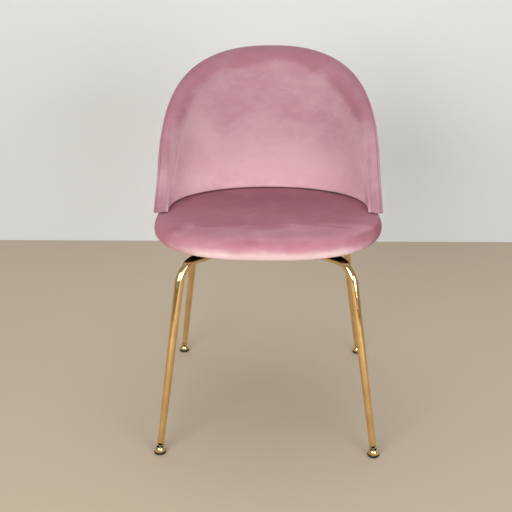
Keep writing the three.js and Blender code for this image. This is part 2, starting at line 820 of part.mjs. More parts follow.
// Bolts stand upright, with their head's bearing face at a given height
function bolt(bearing, place) {
  const top = panUnderside + BOLT_INTO_INSERT;
  const crownRadius = BOLT_HEAD_RADIUS * HEAD_CROWN_SHARE;
  const rimHeight = BOLT_HEAD_HEIGHT * HEAD_RIM_SHARE;
  return turned([
    [0, bearing - BOLT_HEAD_HEIGHT],
    [crownRadius, bearing - BOLT_HEAD_HEIGHT],
    [BOLT_HEAD_RADIUS, bearing - rimHeight],
    [BOLT_HEAD_RADIUS, bearing],
    [BOLT_RADIUS, bearing],
    [BOLT_RADIUS, top],
    [0, top],
  ], BOLT_SIDES).translate(place.x, place.y, 0);
}

function threadedInsert(place) {
  const bore = BOLT_RADIUS + TOUCH_GAP;
  const top = panUnderside + INSERT_LENGTH;
  return turned([
    [bore, panUnderside],
    [INSERT_RADIUS, panUnderside],
    [INSERT_RADIUS, top],
    [bore, top],
    [bore, panUnderside],
  ], INSERT_SIDES).translate(place.x, place.y, 0);
}

// Brackets

// The bracket's own frame: X across it, Y towards the back shell, Z up, its bend's outer corner at 0, 0
function bracketFrame(side) {
  const s = side * BRACKET_ALONG_PANEL;
  const place = panelPoint(s, SEAT_RIM_Z, shellFace + BRACKET_OFF_SHELL);
  const normal = panelNormal(s);
  const turn = Math.atan2(normal.x, -normal.y);
  const bottom = SEAT_UNDERSIDE_Z - TOUCH_GAP - BRACKET_THICKNESS;
  return new THREE.Matrix4()
    .makeTranslation(place.x, place.y, bottom)
    .multiply(new THREE.Matrix4().makeRotationZ(turn));
}

const riserScrewHeight = BRACKET_RISE - SCREW_FROM_BRACKET_END;
const runScrewPlace = SCREW_FROM_BRACKET_END - BRACKET_RUN;

function bracketHoles() {
  const upright = rod(
    SCREW_HOLE_RADIUS,
    -CUT_OVERRUN,
    BRACKET_THICKNESS + CUT_OVERRUN,
    INSERT_SIDES,
  );
  const level = upright.clone().rotateX(Math.PI / 2);
  return [-1, 1].flatMap((side) => [
    upright.clone().translate(side * SCREW_HALF_SPACING, runScrewPlace, 0),
    level.clone().translate(side * SCREW_HALF_SPACING, 0, riserScrewHeight),
  ]);
}

function bracket(side) {
  const profile = new THREE.Shape([
    new THREE.Vector2(-BRACKET_RUN, 0),
    new THREE.Vector2(0, 0),
    new THREE.Vector2(0, BRACKET_RISE),
    new THREE.Vector2(-BRACKET_THICKNESS, BRACKET_RISE),
    new THREE.Vector2(-BRACKET_THICKNESS, BRACKET_THICKNESS),
    new THREE.Vector2(-BRACKET_RUN, BRACKET_THICKNESS),
  ]);
  const strip = new THREE.ExtrudeGeometry(profile, { depth: BRACKET_WIDTH, bevelEnabled: false })
    .rotateX(Math.PI / 2)
    .rotateZ(Math.PI / 2)
    .translate(-BRACKET_WIDTH / 2, 0, 0);
  return cut(strip, bracketHoles()).applyMatrix4(bracketFrame(side));
}

function screw(intoWood) {
  return turned([
    [0, -SCREW_HEAD_HEIGHT],
    [SCREW_HEAD_RADIUS * HEAD_CROWN_SHARE, -SCREW_HEAD_HEIGHT],
    [SCREW_HEAD_RADIUS, -SCREW_HEAD_HEIGHT * HEAD_RIM_SHARE],
    [SCREW_HEAD_RADIUS, 0],
    [SCREW_RADIUS, 0],
    [SCREW_RADIUS, intoWood],
    [0, intoWood],
  ], BOLT_SIDES);
}

// Screws of one bracket in the bracket's frame: two up into the seat board, two back into the shell
function bracketScrews(side) {
  const frame = bracketFrame(side);
  const upInto = panUnderside - (SEAT_UNDERSIDE_Z - TOUCH_GAP - BRACKET_THICKNESS) + SCREW_INTO_WOOD;
  const backInto = BRACKET_THICKNESS + BRACKET_OFF_SHELL + SCREW_INTO_WOOD;
  return [-1, 1].flatMap((across) => [
    screw(upInto + TOUCH_GAP)
      .translate(across * SCREW_HALF_SPACING, runScrewPlace, -TOUCH_GAP)
      .applyMatrix4(frame),
    screw(backInto)
      .rotateX(-Math.PI / 2)
      .translate(across * SCREW_HALF_SPACING, -BRACKET_THICKNESS - TOUCH_GAP, riserScrewHeight)
      .applyMatrix4(frame),
  ]);
}

// The hole that a screw turns in, as wide as its thread and a touch more
function screwPocket(side) {
  const frame = bracketFrame(side);
  const bottom = SEAT_UNDERSIDE_Z - TOUCH_GAP - BRACKET_THICKNESS;
  const reach = panUnderside - bottom + SCREW_INTO_WOOD + TOUCH_GAP;
  const upright = rod(SCREW_HOLE_RADIUS, -CUT_OVERRUN, reach, INSERT_SIDES);
  const level = rod(
    SCREW_HOLE_RADIUS,
    -BRACKET_THICKNESS - CUT_OVERRUN,
    BRACKET_OFF_SHELL + SCREW_INTO_WOOD + TOUCH_GAP,
    INSERT_SIDES,
  ).rotateX(-Math.PI / 2);
  return [-1, 1].map((across) => ({
    upright: upright.clone()
      .translate(across * SCREW_HALF_SPACING, runScrewPlace, 0)
      .applyMatrix4(frame),
    level: level.clone()
      .translate(across * SCREW_HALF_SPACING, 0, riserScrewHeight)
      .applyMatrix4(frame),
  }));
}

// Feet: a ball stud in the tube's end, and a bell and base that tilt on it

function studPlace(leg) {
  const { ball, up } = legRoute(leg);
  const turn = new THREE.Quaternion().setFromUnitVectors(new THREE.Vector3(0, 0, 1), up);
  return new THREE.Matrix4().compose(ball, turn, new THREE.Vector3(1, 1, 1));
}

function ballStud() {
  const flangeTop = LEG_END_FROM_BALL - TOUCH_GAP;
  const flangeBottom = flangeTop - PLUG_FLANGE_THICKNESS;
  const plugRadius = LEG_FOOT_RADIUS - LEG_WALL - TOUCH_GAP;
  const neckStart = Math.sqrt(BALL_RADIUS ** 2 - NECK_RADIUS ** 2);
  const lowest = -Math.PI / 2;
  const highest = Math.asin(neckStart / BALL_RADIUS);
  const ball = Array.from({ length: BALL_STEPS + 1 }, (_, step) => {
    const angle = mix(lowest, highest, step / BALL_STEPS);
    return [step === 0 ? 0 : BALL_RADIUS * Math.cos(angle), BALL_RADIUS * Math.sin(angle)];
  });
  return turned([
    ...ball,
    [NECK_RADIUS, flangeBottom],
    [LEG_FOOT_RADIUS, flangeBottom],
    [LEG_FOOT_RADIUS, flangeTop],
    [plugRadius, flangeTop],
    [plugRadius, flangeTop + PLUG_LENGTH],
    [0, flangeTop + PLUG_LENGTH],
  ], STUD_SIDES);
}

function glideBase() {
  const socket = BALL_RADIUS + SOCKET_CLEARANCE;
  const lipTop = BALL_HEIGHT + SOCKET_RISE;
  const lipAngle = Math.asin(SOCKET_RISE / socket);
  const hollow = Array.from({ length: SOCKET_STEPS + 1 }, (_, i) => {
    const step = SOCKET_STEPS - i;
    const angle = mix(-Math.PI / 2, lipAngle, step / SOCKET_STEPS);
    return [step === 0 ? 0 : socket * Math.cos(angle), BALL_HEIGHT + socket * Math.sin(angle)];
  });
  return turned([
    [0, 0],
    [GLIDE_RADIUS - GLIDE_EDGE, 0],
    [GLIDE_RADIUS, GLIDE_EDGE],
    [GLIDE_RADIUS, GLIDE_HEIGHT],
    [socket + SOCKET_WALL, GLIDE_HEIGHT],
    [socket + SOCKET_WALL, lipTop],
    ...hollow,
  ], GLIDE_SIDES);
}

function glideBell() {
  const bottom = GLIDE_HEIGHT + TOUCH_GAP;
  const shoulder = mix(bottom, BELL_TOP_Z, BELL_SHOULDER_HEIGHT_SHARE);
  const shoulderRadius = mix(BELL_TOP_RADIUS, BELL_BASE_RADIUS, BELL_SHOULDER_WIDTH_SHARE);
  return turned([
    [BELL_BASE_RADIUS - BELL_WALL, bottom],
    [BELL_BASE_RADIUS, bottom],
    [shoulderRadius, shoulder],
    [BELL_TOP_RADIUS, BELL_TOP_Z],
    [BELL_MOUTH_RADIUS, BELL_TOP_Z],
    [BELL_MOUTH_RADIUS, BELL_TOP_Z - BELL_WALL],
    [shoulderRadius - BELL_WALL, shoulder],
    [BELL_BASE_RADIUS - BELL_WALL, bottom],
  ], GLIDE_SIDES);
}

// Everything put together

const insertPlaces = [...hubBoltPlaces, ...LEGS.map((leg) => outerBoltPlace(leg))];

function boltCuts(radius) {
  return insertPlaces.map((place) => (
    rod(radius, SEAT_UNDERSIDE_Z - CUT_OVERRUN, panTop + CUT_OVERRUN, INSERT_SIDES)
      .translate(place.x, place.y, 0)
  ));
}

function buildSeat() {
  const screwCuts = [-1, 1].flatMap((side) => screwPocket(side).map((pocket) => pocket.upright));
  const pan = cut(
    seatBoard(panRadius, panUnderside, panTop),
    [...boltCuts(INSERT_RADIUS + TOUCH_GAP), ...screwCuts],
  );
  const fabricCuts = [...boltCuts(BOLT_HOLE_RADIUS), ...screwCuts];
  const dustCover = cut(
    seatBoard(SEAT_HALF_WIDTH - DUST_COVER_INSET, SEAT_UNDERSIDE_Z, hemUnderside - TOUCH_GAP),
    fabricCuts,
  );
  addPiece('seat_pan', pan, PLYWOOD);
  addPiece('seat_foam', seatFoam(), FOAM);
  addPiece('seat_cover', cut(seatCover(), fabricCuts), PINK_VELVET);
  addPiece('seat_dust_cover', dustCover, DUST_CLOTH);
}

function buildBack() {
  const screwCuts = [-1, 1].flatMap((side) => screwPocket(side).map((pocket) => pocket.level));
  addPiece('back_shell', cut(backShell(), screwCuts), PLYWOOD);
  addPiece('back_foam_front', backFoamFront(), FOAM);
  addPiece('back_foam_rear', backFoamRear(), FOAM);
  addPiece('back_cover_front', backCoverFront(), PINK_VELVET);
  addPiece('back_cover_rear', backCoverRear(), PINK_VELVET);
  addPiece('back_welt', backWelt(), PINK_VELVET);
}

function buildBrackets() {
  for (const [name, side] of [['left', -1], ['right', 1]]) {
    addPiece(`back_bracket_${name}`, bracket(side), BLACK_STEEL);
    bracketScrews(side).forEach((geometry, index) => {
      addPiece(`bracket_screw_${name}_${index + 1}`, geometry, ZINC);
    });
  }
}

function buildLegs() {
  addPiece('leg_hub_plate', hubPlate(), GOLD);
  for (const leg of LEGS) {
    addPiece(`leg_${leg.name}`, legTube(leg), GOLD);
    const outerBearing = tubeLevel - LEG_TOP_RADIUS - TOUCH_GAP;
    addPiece(`leg_bolt_${leg.name}`, bolt(outerBearing, outerBoltPlace(leg)), ZINC);
    addPiece(`leg_insert_${leg.name}`, threadedInsert(outerBoltPlace(leg)), ZINC);
  }
  hubBoltPlaces.forEach((place, index) => {
    addPiece(`hub_bolt_${index + 1}`, bolt(hubUnderside - TOUCH_GAP, place), ZINC);
    addPiece(`hub_insert_${index + 1}`, threadedInsert(place), ZINC);
  });
}

function buildFeet() {
  for (const leg of LEGS) {
    const { ball } = legRoute(leg);
    addPiece(`glide_stud_${leg.name}`, ballStud().applyMatrix4(studPlace(leg)), ZINC);
    addPiece(`glide_bell_${leg.name}`, glideBell().translate(ball.x, ball.y, 0), GOLD);
    addPiece(`glide_base_${leg.name}`, glideBase().translate(ball.x, ball.y, 0), BLACK_NYLON);
  }
}

buildSeat();
buildBack();
buildBrackets();
buildLegs();
buildFeet();

// The origin lies on the floor, below the middle of the chair's outer box
const middle = new THREE.Box3().setFromObject(chair).getCenter(new THREE.Vector3());
chair.position.set(-middle.x, -middle.y, 0);
chair.updateMatrixWorld(true);

export default chair;
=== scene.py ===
"""A pink velvet side chair with a dome back and gold tube legs, dressed on its CAD frame."""
import json
import math

import bmesh
import bpy
from mathutils import Matrix, Vector, noise


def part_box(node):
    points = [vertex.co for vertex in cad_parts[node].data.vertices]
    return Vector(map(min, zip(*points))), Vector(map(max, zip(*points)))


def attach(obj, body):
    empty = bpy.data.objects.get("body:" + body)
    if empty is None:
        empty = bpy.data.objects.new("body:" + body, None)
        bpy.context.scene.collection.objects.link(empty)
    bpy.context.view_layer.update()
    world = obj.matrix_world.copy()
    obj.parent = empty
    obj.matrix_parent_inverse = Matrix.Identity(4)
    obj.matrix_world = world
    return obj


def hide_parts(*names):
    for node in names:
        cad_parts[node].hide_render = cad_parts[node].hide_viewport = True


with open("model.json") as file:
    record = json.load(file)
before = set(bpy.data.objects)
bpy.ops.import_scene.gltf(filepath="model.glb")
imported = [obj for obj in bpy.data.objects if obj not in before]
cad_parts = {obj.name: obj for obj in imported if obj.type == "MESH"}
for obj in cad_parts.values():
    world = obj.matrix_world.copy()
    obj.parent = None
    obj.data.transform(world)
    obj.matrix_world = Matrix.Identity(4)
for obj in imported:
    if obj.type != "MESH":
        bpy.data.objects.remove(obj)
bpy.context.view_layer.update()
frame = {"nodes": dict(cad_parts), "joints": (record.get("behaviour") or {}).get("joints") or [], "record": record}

# All lengths are in metres, in the frame's axes: +Z up, +Y to the back of the chair
SEAT_LOW, SEAT_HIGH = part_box("seat_cover")
BACK_LOW, BACK_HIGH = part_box("back_cover_front")
WELT_LOW, WELT_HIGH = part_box("back_welt")

# The plan's middle, which the seat and the back are drawn about, lies behind the frame's origin
SEAT_REAR_DEPTH = 0.218
MIDDLE_Y = SEAT_HIGH.y - SEAT_REAR_DEPTH

# Seat pad
SEAT_HALF_WIDTH = SEAT_HIGH.x
SEAT_FRONT_DEPTH = MIDDLE_Y - SEAT_LOW.y
SEAT_FRONT_POWER = 2.5
SEAT_REAR_POWER = 2.0
SEAT_UNDERSIDE = 0.411
SEAT_RIM = 0.464
SEAT_CROWN = SEAT_HIGH.z - SEAT_RIM
SEAT_CROWN_POWER = 1.5
SEAT_WIDEST_Z = SEAT_UNDERSIDE + (SEAT_RIM - SEAT_UNDERSIDE) * 0.55
SEAT_FRONT_ROLL = 0.030
SEAT_REAR_ROLL = 0.008
SEAT_BOTTOM_ROLL = 0.034
SEAT_SIDE_POWER = 2.2
SEAT_ROLL_STEPS = 9
SEAT_FLAT_RIM = 0.036

# Curved back
SHELL_HALF_WIDTH = 0.234
SHELL_DEPTH = 0.232
SHELL_POWER = 2.15
SHELL_FACE = 0.005
RECLINE = math.radians(9.5)
WING_FLARE = 0.001
FLARE_TOP = 0.530
FLARE_HEIGHT = 0.070
FLARE_START = 0.150
FLARE_RISE = 0.110
BACK_TOP = BACK_HIGH.z
BACK_SPRING = SEAT_RIM + 0.003
BACK_LOWER = SEAT_RIM + 0.0012
DOME_HALF_LENGTH = 0.358
DOME_SIDE_POWER = 2.35
DOME_TOP_POWER = 1.74
TOE_REACH = 0.044
TOE_HEIGHT = 0.080
WING_TIP = DOME_HALF_LENGTH + TOE_REACH
WING_CORNER_POWER = 9
TONGUE_LOWER = WELT_LOW.z
TONGUE_HALF_WIDTH = 0.105
TONGUE_RISE = 0.085
FOLD_START = TONGUE_HALF_WIDTH + TONGUE_RISE + 0.020
COVER_RISE = 0.190
PAD_THICKNESS = 0.034
WING_PAD_THICKNESS = 0.016
PAD_CROWN = 0.004
PAD_EDGE_ROLL = 0.038
PAD_LOWER_ROLL = 0.009
LOWER_EDGE_POWER = 4.5
ROLL_GROWTH = 0.060
PAD_GAP = 0.0005
SHELL_FACET_GAP = 0.0018
REAR_PAD_THICKNESS = 0.006
REAR_EDGE_ROLL = 0.006
WELT_RADIUS = 0.0027
FRONT_ROLL_STEPS = 12
REAR_ROLL_STEPS = 7
WELT_SIDES = 10

# Cloth simulation: a padded piece starts smaller by INFLATE_ROOM, and then swells
INFLATE_ROOM = 0.0012
INFLATE_PRESSURE = 4.0
INFLATE_CAP = 0.0024
INFLATE_FRAMES = 16

# Bent leg tubes
LEG_TOP_RADIUS = 0.0095
LEG_FOOT_RADIUS = 0.007
LEG_BEND_RADIUS = 0.047
LEG_WALL = 0.0015
LEG_SIDES = 48
LEG_STRAIGHT_STEPS = 24
LEG_BEND_STEPS = 18
TUBE_LEVEL = SEAT_UNDERSIDE - 0.0003 - LEG_TOP_RADIUS


def mix(start, end, share):
    return start + (end - start) * share


def smooth_step(value):
    t = min(1.0, max(0.0, value))
    return t * t * (3 - 2 * t)


def signed_power(value, power):
    return math.copysign(abs(value) ** power, value)


# Mesh helpers

def new_piece(name, points, faces, material, smooth=True):
    mesh = bpy.data.meshes.new(name)
    mesh.from_pydata([tuple(point) for point in points], [], faces)
    mesh.validate()
    piece = bpy.data.objects.new(name, mesh)
    bpy.context.scene.collection.objects.link(piece)
    tidy_normals(mesh)
    mesh.materials.append(material)
    for polygon in mesh.polygons:
        polygon.use_smooth = smooth
    return piece


def tidy_normals(mesh):
    shape = bmesh.new()
    shape.from_mesh(mesh)
    bmesh.ops.recalc_face_normals(shape, faces=shape.faces)
    shape.to_mesh(mesh)
    shape.free()


def ring_faces(first, second, sides):
    return [
        (first + i, first + (i + 1) % sides, second + (i + 1) % sides, second + i)
        for i in range(sides)
    ]


def loop_piece(name, rings, material):
    """A closed ring-like body: the last ring joins the first."""
    sides = len(rings[0])
    faces = []
    for ring in range(len(rings)):
        following = (ring + 1) % len(rings)
        faces += ring_faces(ring * sides, following * sides, sides)
    return new_piece(name, [point for ring in rings for point in ring], faces, material)


def turned_piece(name, profile, place, sides, material):
    """A lathe body about +Z at place, its closed profile given as (radius, height)."""
    rings = [
        [
            place + Vector((
                radius * math.cos(2 * math.pi * i / sides),
                radius * math.sin(2 * math.pi * i / sides),
                height,
            ))
            for i in range(sides)
        ]
        for radius, height in profile
    ]
    return loop_piece(name, rings, material)


def subdivide(piece, levels):
    modifier = piece.modifiers.new("Subdivision", "SUBSURF")
    modifier.levels = levels
    modifier.render_levels = levels


def apply_modifiers(piece):
    depsgraph = bpy.context.evaluated_depsgraph_get()
    mesh = bpy.data.meshes.new_from_object(piece.evaluated_get(depsgraph), depsgraph=depsgraph)
    old = piece.data
    piece.modifiers.clear()
    piece.data = mesh
    bpy.data.meshes.remove(old)
    for polygon in mesh.polygons:
        polygon.use_smooth = True


def inflate(piece, held):
    """Swells a padded piece like stuffed cloth.

    The vertices in held stay, and no other moves further than INFLATE_CAP.
    """
    start = [vertex.co.copy() for vertex in piece.data.vertices]
    piece.vertex_groups.new(name="held").add(list(held), 1.0, "REPLACE")
    cloth = piece.modifiers.new("Cloth", "CLOTH")
    settings = cloth.settings
    settings.quality = 6
    settings.mass = 0.3
    settings.tension_stiffness = 15
    settings.compression_stiffness = 15
    settings.shear_stiffness = 5
    settings.bending_stiffness = 0.5
    settings.use_pressure = True
    settings.uniform_pressure_force = INFLATE_PRESSURE
    settings.effector_weights.gravity = 0
    settings.vertex_group_mass = "held"
    cloth.collision_settings.use_collision = False
    cloth.collision_settings.use_self_collision = False
    cloth.point_cache.frame_start = 1
    cloth.point_cache.frame_end = INFLATE_FRAMES
    for number in range(1, INFLATE_FRAMES + 1):
        bpy.context.scene.frame_set(number)
    apply_modifiers(piece)
    bpy.context.scene.frame_set(1)
    for vertex, place in zip(piece.data.vertices, start):
        move = vertex.co - place
        if move.length > INFLATE_CAP:
            vertex.co = place + move.normalized() * INFLATE_CAP


# Node helpers for the materials

class Nodes:
    """Builds one material's node tree in few words."""

    def __init__(self, name):
        self.material = bpy.data.materials.new(name)
        self.material.use_nodes = True
        self.tree = self.material.node_tree
        self.shader = self.tree.nodes["Principled BSDF"]

    def add(self, kind, **settings):
        node = self.tree.nodes.new(kind)
        for key, value in settings.items():
            setattr(node, key, value)
        return node

    def link(self, source, target):
        self.tree.links.new(source, target)

    def put(self, socket, value):
        if isinstance(value, bpy.types.NodeSocket):
            self.link(value, socket)
        else:
            socket.default_value = value

    def math(self, operation, first, second=0.0, clamp=False):
        node = self.add("ShaderNodeMath", operation=operation, use_clamp=clamp)
        self.put(node.inputs[0], first)
        self.put(node.inputs[1], second)
        return node.outputs[0]

    def object_point(self):
        return self.add("ShaderNodeTexCoord").outputs["Object"]

    def split(self, vector):
        node = self.add("ShaderNodeSeparateXYZ")
        self.link(vector, node.inputs[0])
        return node.outputs

    def scaled(self, vector, scale):
        node = self.add("ShaderNodeVectorMath", operation="MULTIPLY")
        self.link(vector, node.inputs[0])
        node.inputs[1].default_value = scale
        return node.outputs[0]

    def noise(self, vector, scale, detail=2.0, roughness=0.5, distortion=0.0):
        node = self.add("ShaderNodeTexNoise")
        self.link(vector, node.inputs["Vector"])
        node.inputs["Scale"].default_value = scale
        node.inputs["Detail"].default_value = detail
        node.inputs["Roughness"].default_value = roughness
        node.inputs["Distortion"].default_value = distortion
        return node.outputs["Fac"]

    def ramp(self, value, low, high, low_out=0.0, high_out=1.0):
        """Value eased from low to high, as a number between low_out and high_out."""
        node = self.add("ShaderNodeMapRange", interpolation_type="SMOOTHSTEP")
        self.put(node.inputs["Value"], value)
        node.inputs["From Min"].default_value = low
        node.inputs["From Max"].default_value = high
        node.inputs["To Min"].default_value = low_out
        node.inputs["To Max"].default_value = high_out
        return node.outputs[0]

    def mixed(self, share, first, second):
        node = self.add("ShaderNodeMix", data_type="FLOAT")
        self.put(node.inputs["Factor"], share)
        self.put(node.inputs["A"], first)
        self.put(node.inputs["B"], second)
        return node.outputs["Result"]

    def blend(self, share, first, second):
        node = self.add("ShaderNodeMix", data_type="RGBA", blend_type="MIX")
        self.put(node.inputs["Factor"], share)
        self.put(node.inputs["A"], first)
        self.put(node.inputs["B"], second)
        return node.outputs["Result"]

    def colour_ramp(self, value, stops):
        node = self.add("ShaderNodeValToRGB")
        self.link(value, node.inputs[0])
        elements = node.color_ramp.elements
        for element, (place, colour) in zip(elements, (stops[0], stops[-1])):
            element.position, element.color = place, colour
        for place, colour in stops[1:-1]:
            elements.new(place).color = colour
        return node.outputs["Color"]

    def bump(self, height, strength, distance, normal=None):
        node = self.add("ShaderNodeBump")
        node.inputs["Strength"].default_value = strength
        node.inputs["Distance"].default_value = distance
        self.link(height, node.inputs["Height"])
        if normal is not None:
            self.link(normal, node.inputs["Normal"])
        return node.outputs["Normal"]


# Materials

# Velvet colours from dark to light, which the seat and the front of the back pick by painted light and shade, and
# the rear cover by random tone
BACK_PILE = (
    (0.00, (0.285, 0.094, 0.132, 1)),
    (0.20, (0.385, 0.152, 0.198, 1)),
    (0.35, (0.425, 0.198, 0.246, 1)),
    (0.50, (0.530, 0.308, 0.358, 1)),
    (0.70, (0.640, 0.400, 0.442, 1)),
    (0.85, (0.740, 0.440, 0.490, 1)),
    (1.00, (0.900, 0.590, 0.640, 1)),
)
SEAT_PILE = (
    (0.00, (0.285, 0.080, 0.118, 1)),
    (0.20, (0.385, 0.130, 0.175, 1)),
    (0.40, (0.480, 0.192, 0.245, 1)),
    (0.60, (0.600, 0.300, 0.360, 1)),
    (0.80, (0.762, 0.512, 0.556, 1)),
    (1.00, (0.932, 0.728, 0.758, 1)),
)
# Painted shade for the velvet turned in under the seat
UNDERSIDE_SHADE_COLOUR = (0.050, 0.014, 0.022, 1)

PALE_GOLD = (0.90, 0.64, 0.31, 1)
DEEP_GOLD = (0.80, 0.53, 0.24, 1)
# Painted dark reflection on the tubes' upper side
SHADED_GOLD = (0.02, 0.012, 0.008, 1)
PALE_PLY = (0.62, 0.42, 0.22, 1)
DARK_PLY = (0.40, 0.24, 0.11, 1)
PALE_CLOTH = (0.045, 0.045, 0.047, 1)
DARK_CLOTH = (0.010, 0.010, 0.011, 1)


def velvet(name, stops, lightness, underside_shade=None):
    """Pink velvet. lightness(nodes, point) gives 0 for the darkest colour and 1 for the lightest, and holds
    painted light and shade on the seat and the front of the back; the last argument, if given, is the share of
    painted shade under the seat.
    """
    nodes = Nodes(name)
    point = nodes.object_point()
    patches = nodes.noise(point, 9, 2, 0.5, 0.4)
    strokes = nodes.noise(nodes.scaled(point, (1.0, 1.0, 2.2)), 24, 2, 0.5, 0.9)
    patchy = nodes.math("ADD", nodes.ramp(patches, 0.36, 0.66, -0.045, 0.045),
                        nodes.ramp(strokes, 0.42, 0.62, -0.018, 0.018))
    share = nodes.math("ADD", lightness(nodes, point), patchy, clamp=True)
    colour = nodes.colour_ramp(share, stops)
    fibre = nodes.noise(point, 1400, 2, 0.7)
    flecked = nodes.blend(nodes.ramp(fibre, 0.35, 0.65, 0.0, 0.10), colour, stops[0][1])
    # Painted shade where the velvet turns in under the seat
    if underside_shade:
        flecked = nodes.blend(underside_shade(nodes, point), flecked, UNDERSIDE_SHADE_COLOUR)
    nodes.link(flecked, nodes.shader.inputs["Base Color"])
    nodes.link(nodes.ramp(patches, 0.3, 0.7, 0.82, 0.95), nodes.shader.inputs["Roughness"])
    pile = nodes.bump(fibre, 0.30, 0.0006)
    nodes.link(nodes.bump(strokes, 0.12, 0.003, pile), nodes.shader.inputs["Normal"])
    nodes.shader.inputs["Specular IOR Level"].default_value = 0.15
    nodes.shader.inputs["Sheen Weight"].default_value = 0.16
    nodes.shader.inputs["Sheen Roughness"].default_value = 0.45
    nodes.shader.inputs["Sheen Tint"].default_value = (1.0, 0.82, 0.87, 1)
    return nodes.material


def gold_plate():
    """Polished gold, with a painted dark reflection of the seat's underside on the tubes' upper side, which lies
    against the seat.
    """
    nodes = Nodes("gold_plate")
    point = nodes.object_point()
    cloud = nodes.noise(point, 35, 2, 0.5)
    colour = nodes.blend(nodes.ramp(cloud, 0.3, 0.7), DEEP_GOLD, PALE_GOLD)
    up = nodes.split(point)[2]
    # Painted reflection: the tubes' upper side is darkened as if it mirrored the seat's dark underside
    shaded = nodes.ramp(up, TUBE_LEVEL - 0.002, TUBE_LEVEL + 0.002, 0.0, 0.97)
    nodes.link(nodes.blend(shaded, colour, SHADED_GOLD), nodes.shader.inputs["Base Color"])
    nodes.shader.inputs["Metallic"].default_value = 1.0
    polish = nodes.noise(nodes.scaled(point, (1.0, 1.0, 0.15)), 420, 2, 0.6)
    nodes.link(nodes.ramp(polish, 0.3, 0.75, 0.05, 0.12), nodes.shader.inputs["Roughness"])
    nodes.link(nodes.bump(cloud, 0.12, 0.002), nodes.shader.inputs["Normal"])
    return nodes.material


def plain_metal(name, colour, roughness):
    nodes = Nodes(name)
    point = nodes.object_point()
    grain = nodes.noise(point, 900, 2, 0.6)
    shade = nodes.blend(nodes.ramp(grain, 0.3, 0.7, 0.0, 0.3), colour, (0.4, 0.4, 0.4, 1))
    nodes.link(shade, nodes.shader.inputs["Base Color"])
    nodes.shader.inputs["Metallic"].default_value = 1.0
    nodes.link(nodes.ramp(grain, 0.3, 0.7, roughness, roughness + 0.15),
               nodes.shader.inputs["Roughness"])
    return nodes.material


def moulded(name, colour):
    nodes = Nodes(name)
    point = nodes.object_point()
    grain = nodes.noise(point, 1500, 2, 0.6)
    scuff = nodes.noise(point, 120, 3, 0.6)
    pale = tuple(channel + 0.03 for channel in colour[:3]) + (1,)
    nodes.link(nodes.blend(nodes.ramp(scuff, 0.55, 0.75, 0.0, 0.6), colour, pale),
               nodes.shader.inputs["Base Color"])
    nodes.link(nodes.ramp(grain, 0.3, 0.7, 0.42, 0.6), nodes.shader.inputs["Roughness"])
    nodes.link(nodes.bump(grain, 0.2, 0.0002), nodes.shader.inputs["Normal"])
    return nodes.material


def plywood():
    nodes = Nodes("plywood")
    point = nodes.object_point()
    grain = nodes.noise(nodes.scaled(point, (40, 3, 40)), 3, 5, 0.6, 0.8)
    plies = nodes.add("ShaderNodeTexWave", wave_type="BANDS", bands_direction="Z")
    nodes.link(point, plies.inputs["Vector"])
    plies.inputs["Scale"].default_value = 90
    plies.inputs["Distortion"].default_value = 1.5
    tone = nodes.math("ADD", nodes.math("MULTIPLY", grain, 0.7),
                      nodes.math("MULTIPLY", plies.outputs["Fac"], 0.3))
    nodes.link(nodes.blend(nodes.ramp(tone, 0.25, 0.75), PALE_PLY, DARK_PLY),
               nodes.shader.inputs["Base Color"])
    nodes.shader.inputs["Roughness"].default_value = 0.65
    nodes.link(nodes.bump(grain, 0.2, 0.0008), nodes.shader.inputs["Normal"])
    return nodes.material


def woven_black():
    nodes = Nodes("dust_cloth")
    point = nodes.object_point()
    web = nodes.noise(point, 700, 3, 0.7)
    nodes.link(nodes.blend(nodes.ramp(web, 0.4, 0.65), DARK_CLOTH, PALE_CLOTH),
               nodes.shader.inputs["Base Color"])
    nodes.shader.inputs["Roughness"].default_value = 0.95
    nodes.link(nodes.bump(web, 0.4, 0.0005), nodes.shader.inputs["Normal"])
    return nodes.material


# The back's face seen as an arc in plan, and the middle of the patch of painted light low on it
BACK_ARC_RADIUS = SHELL_HALF_WIDTH + 0.0025
PAINTED_LIGHT_PATCH_X = 0.025


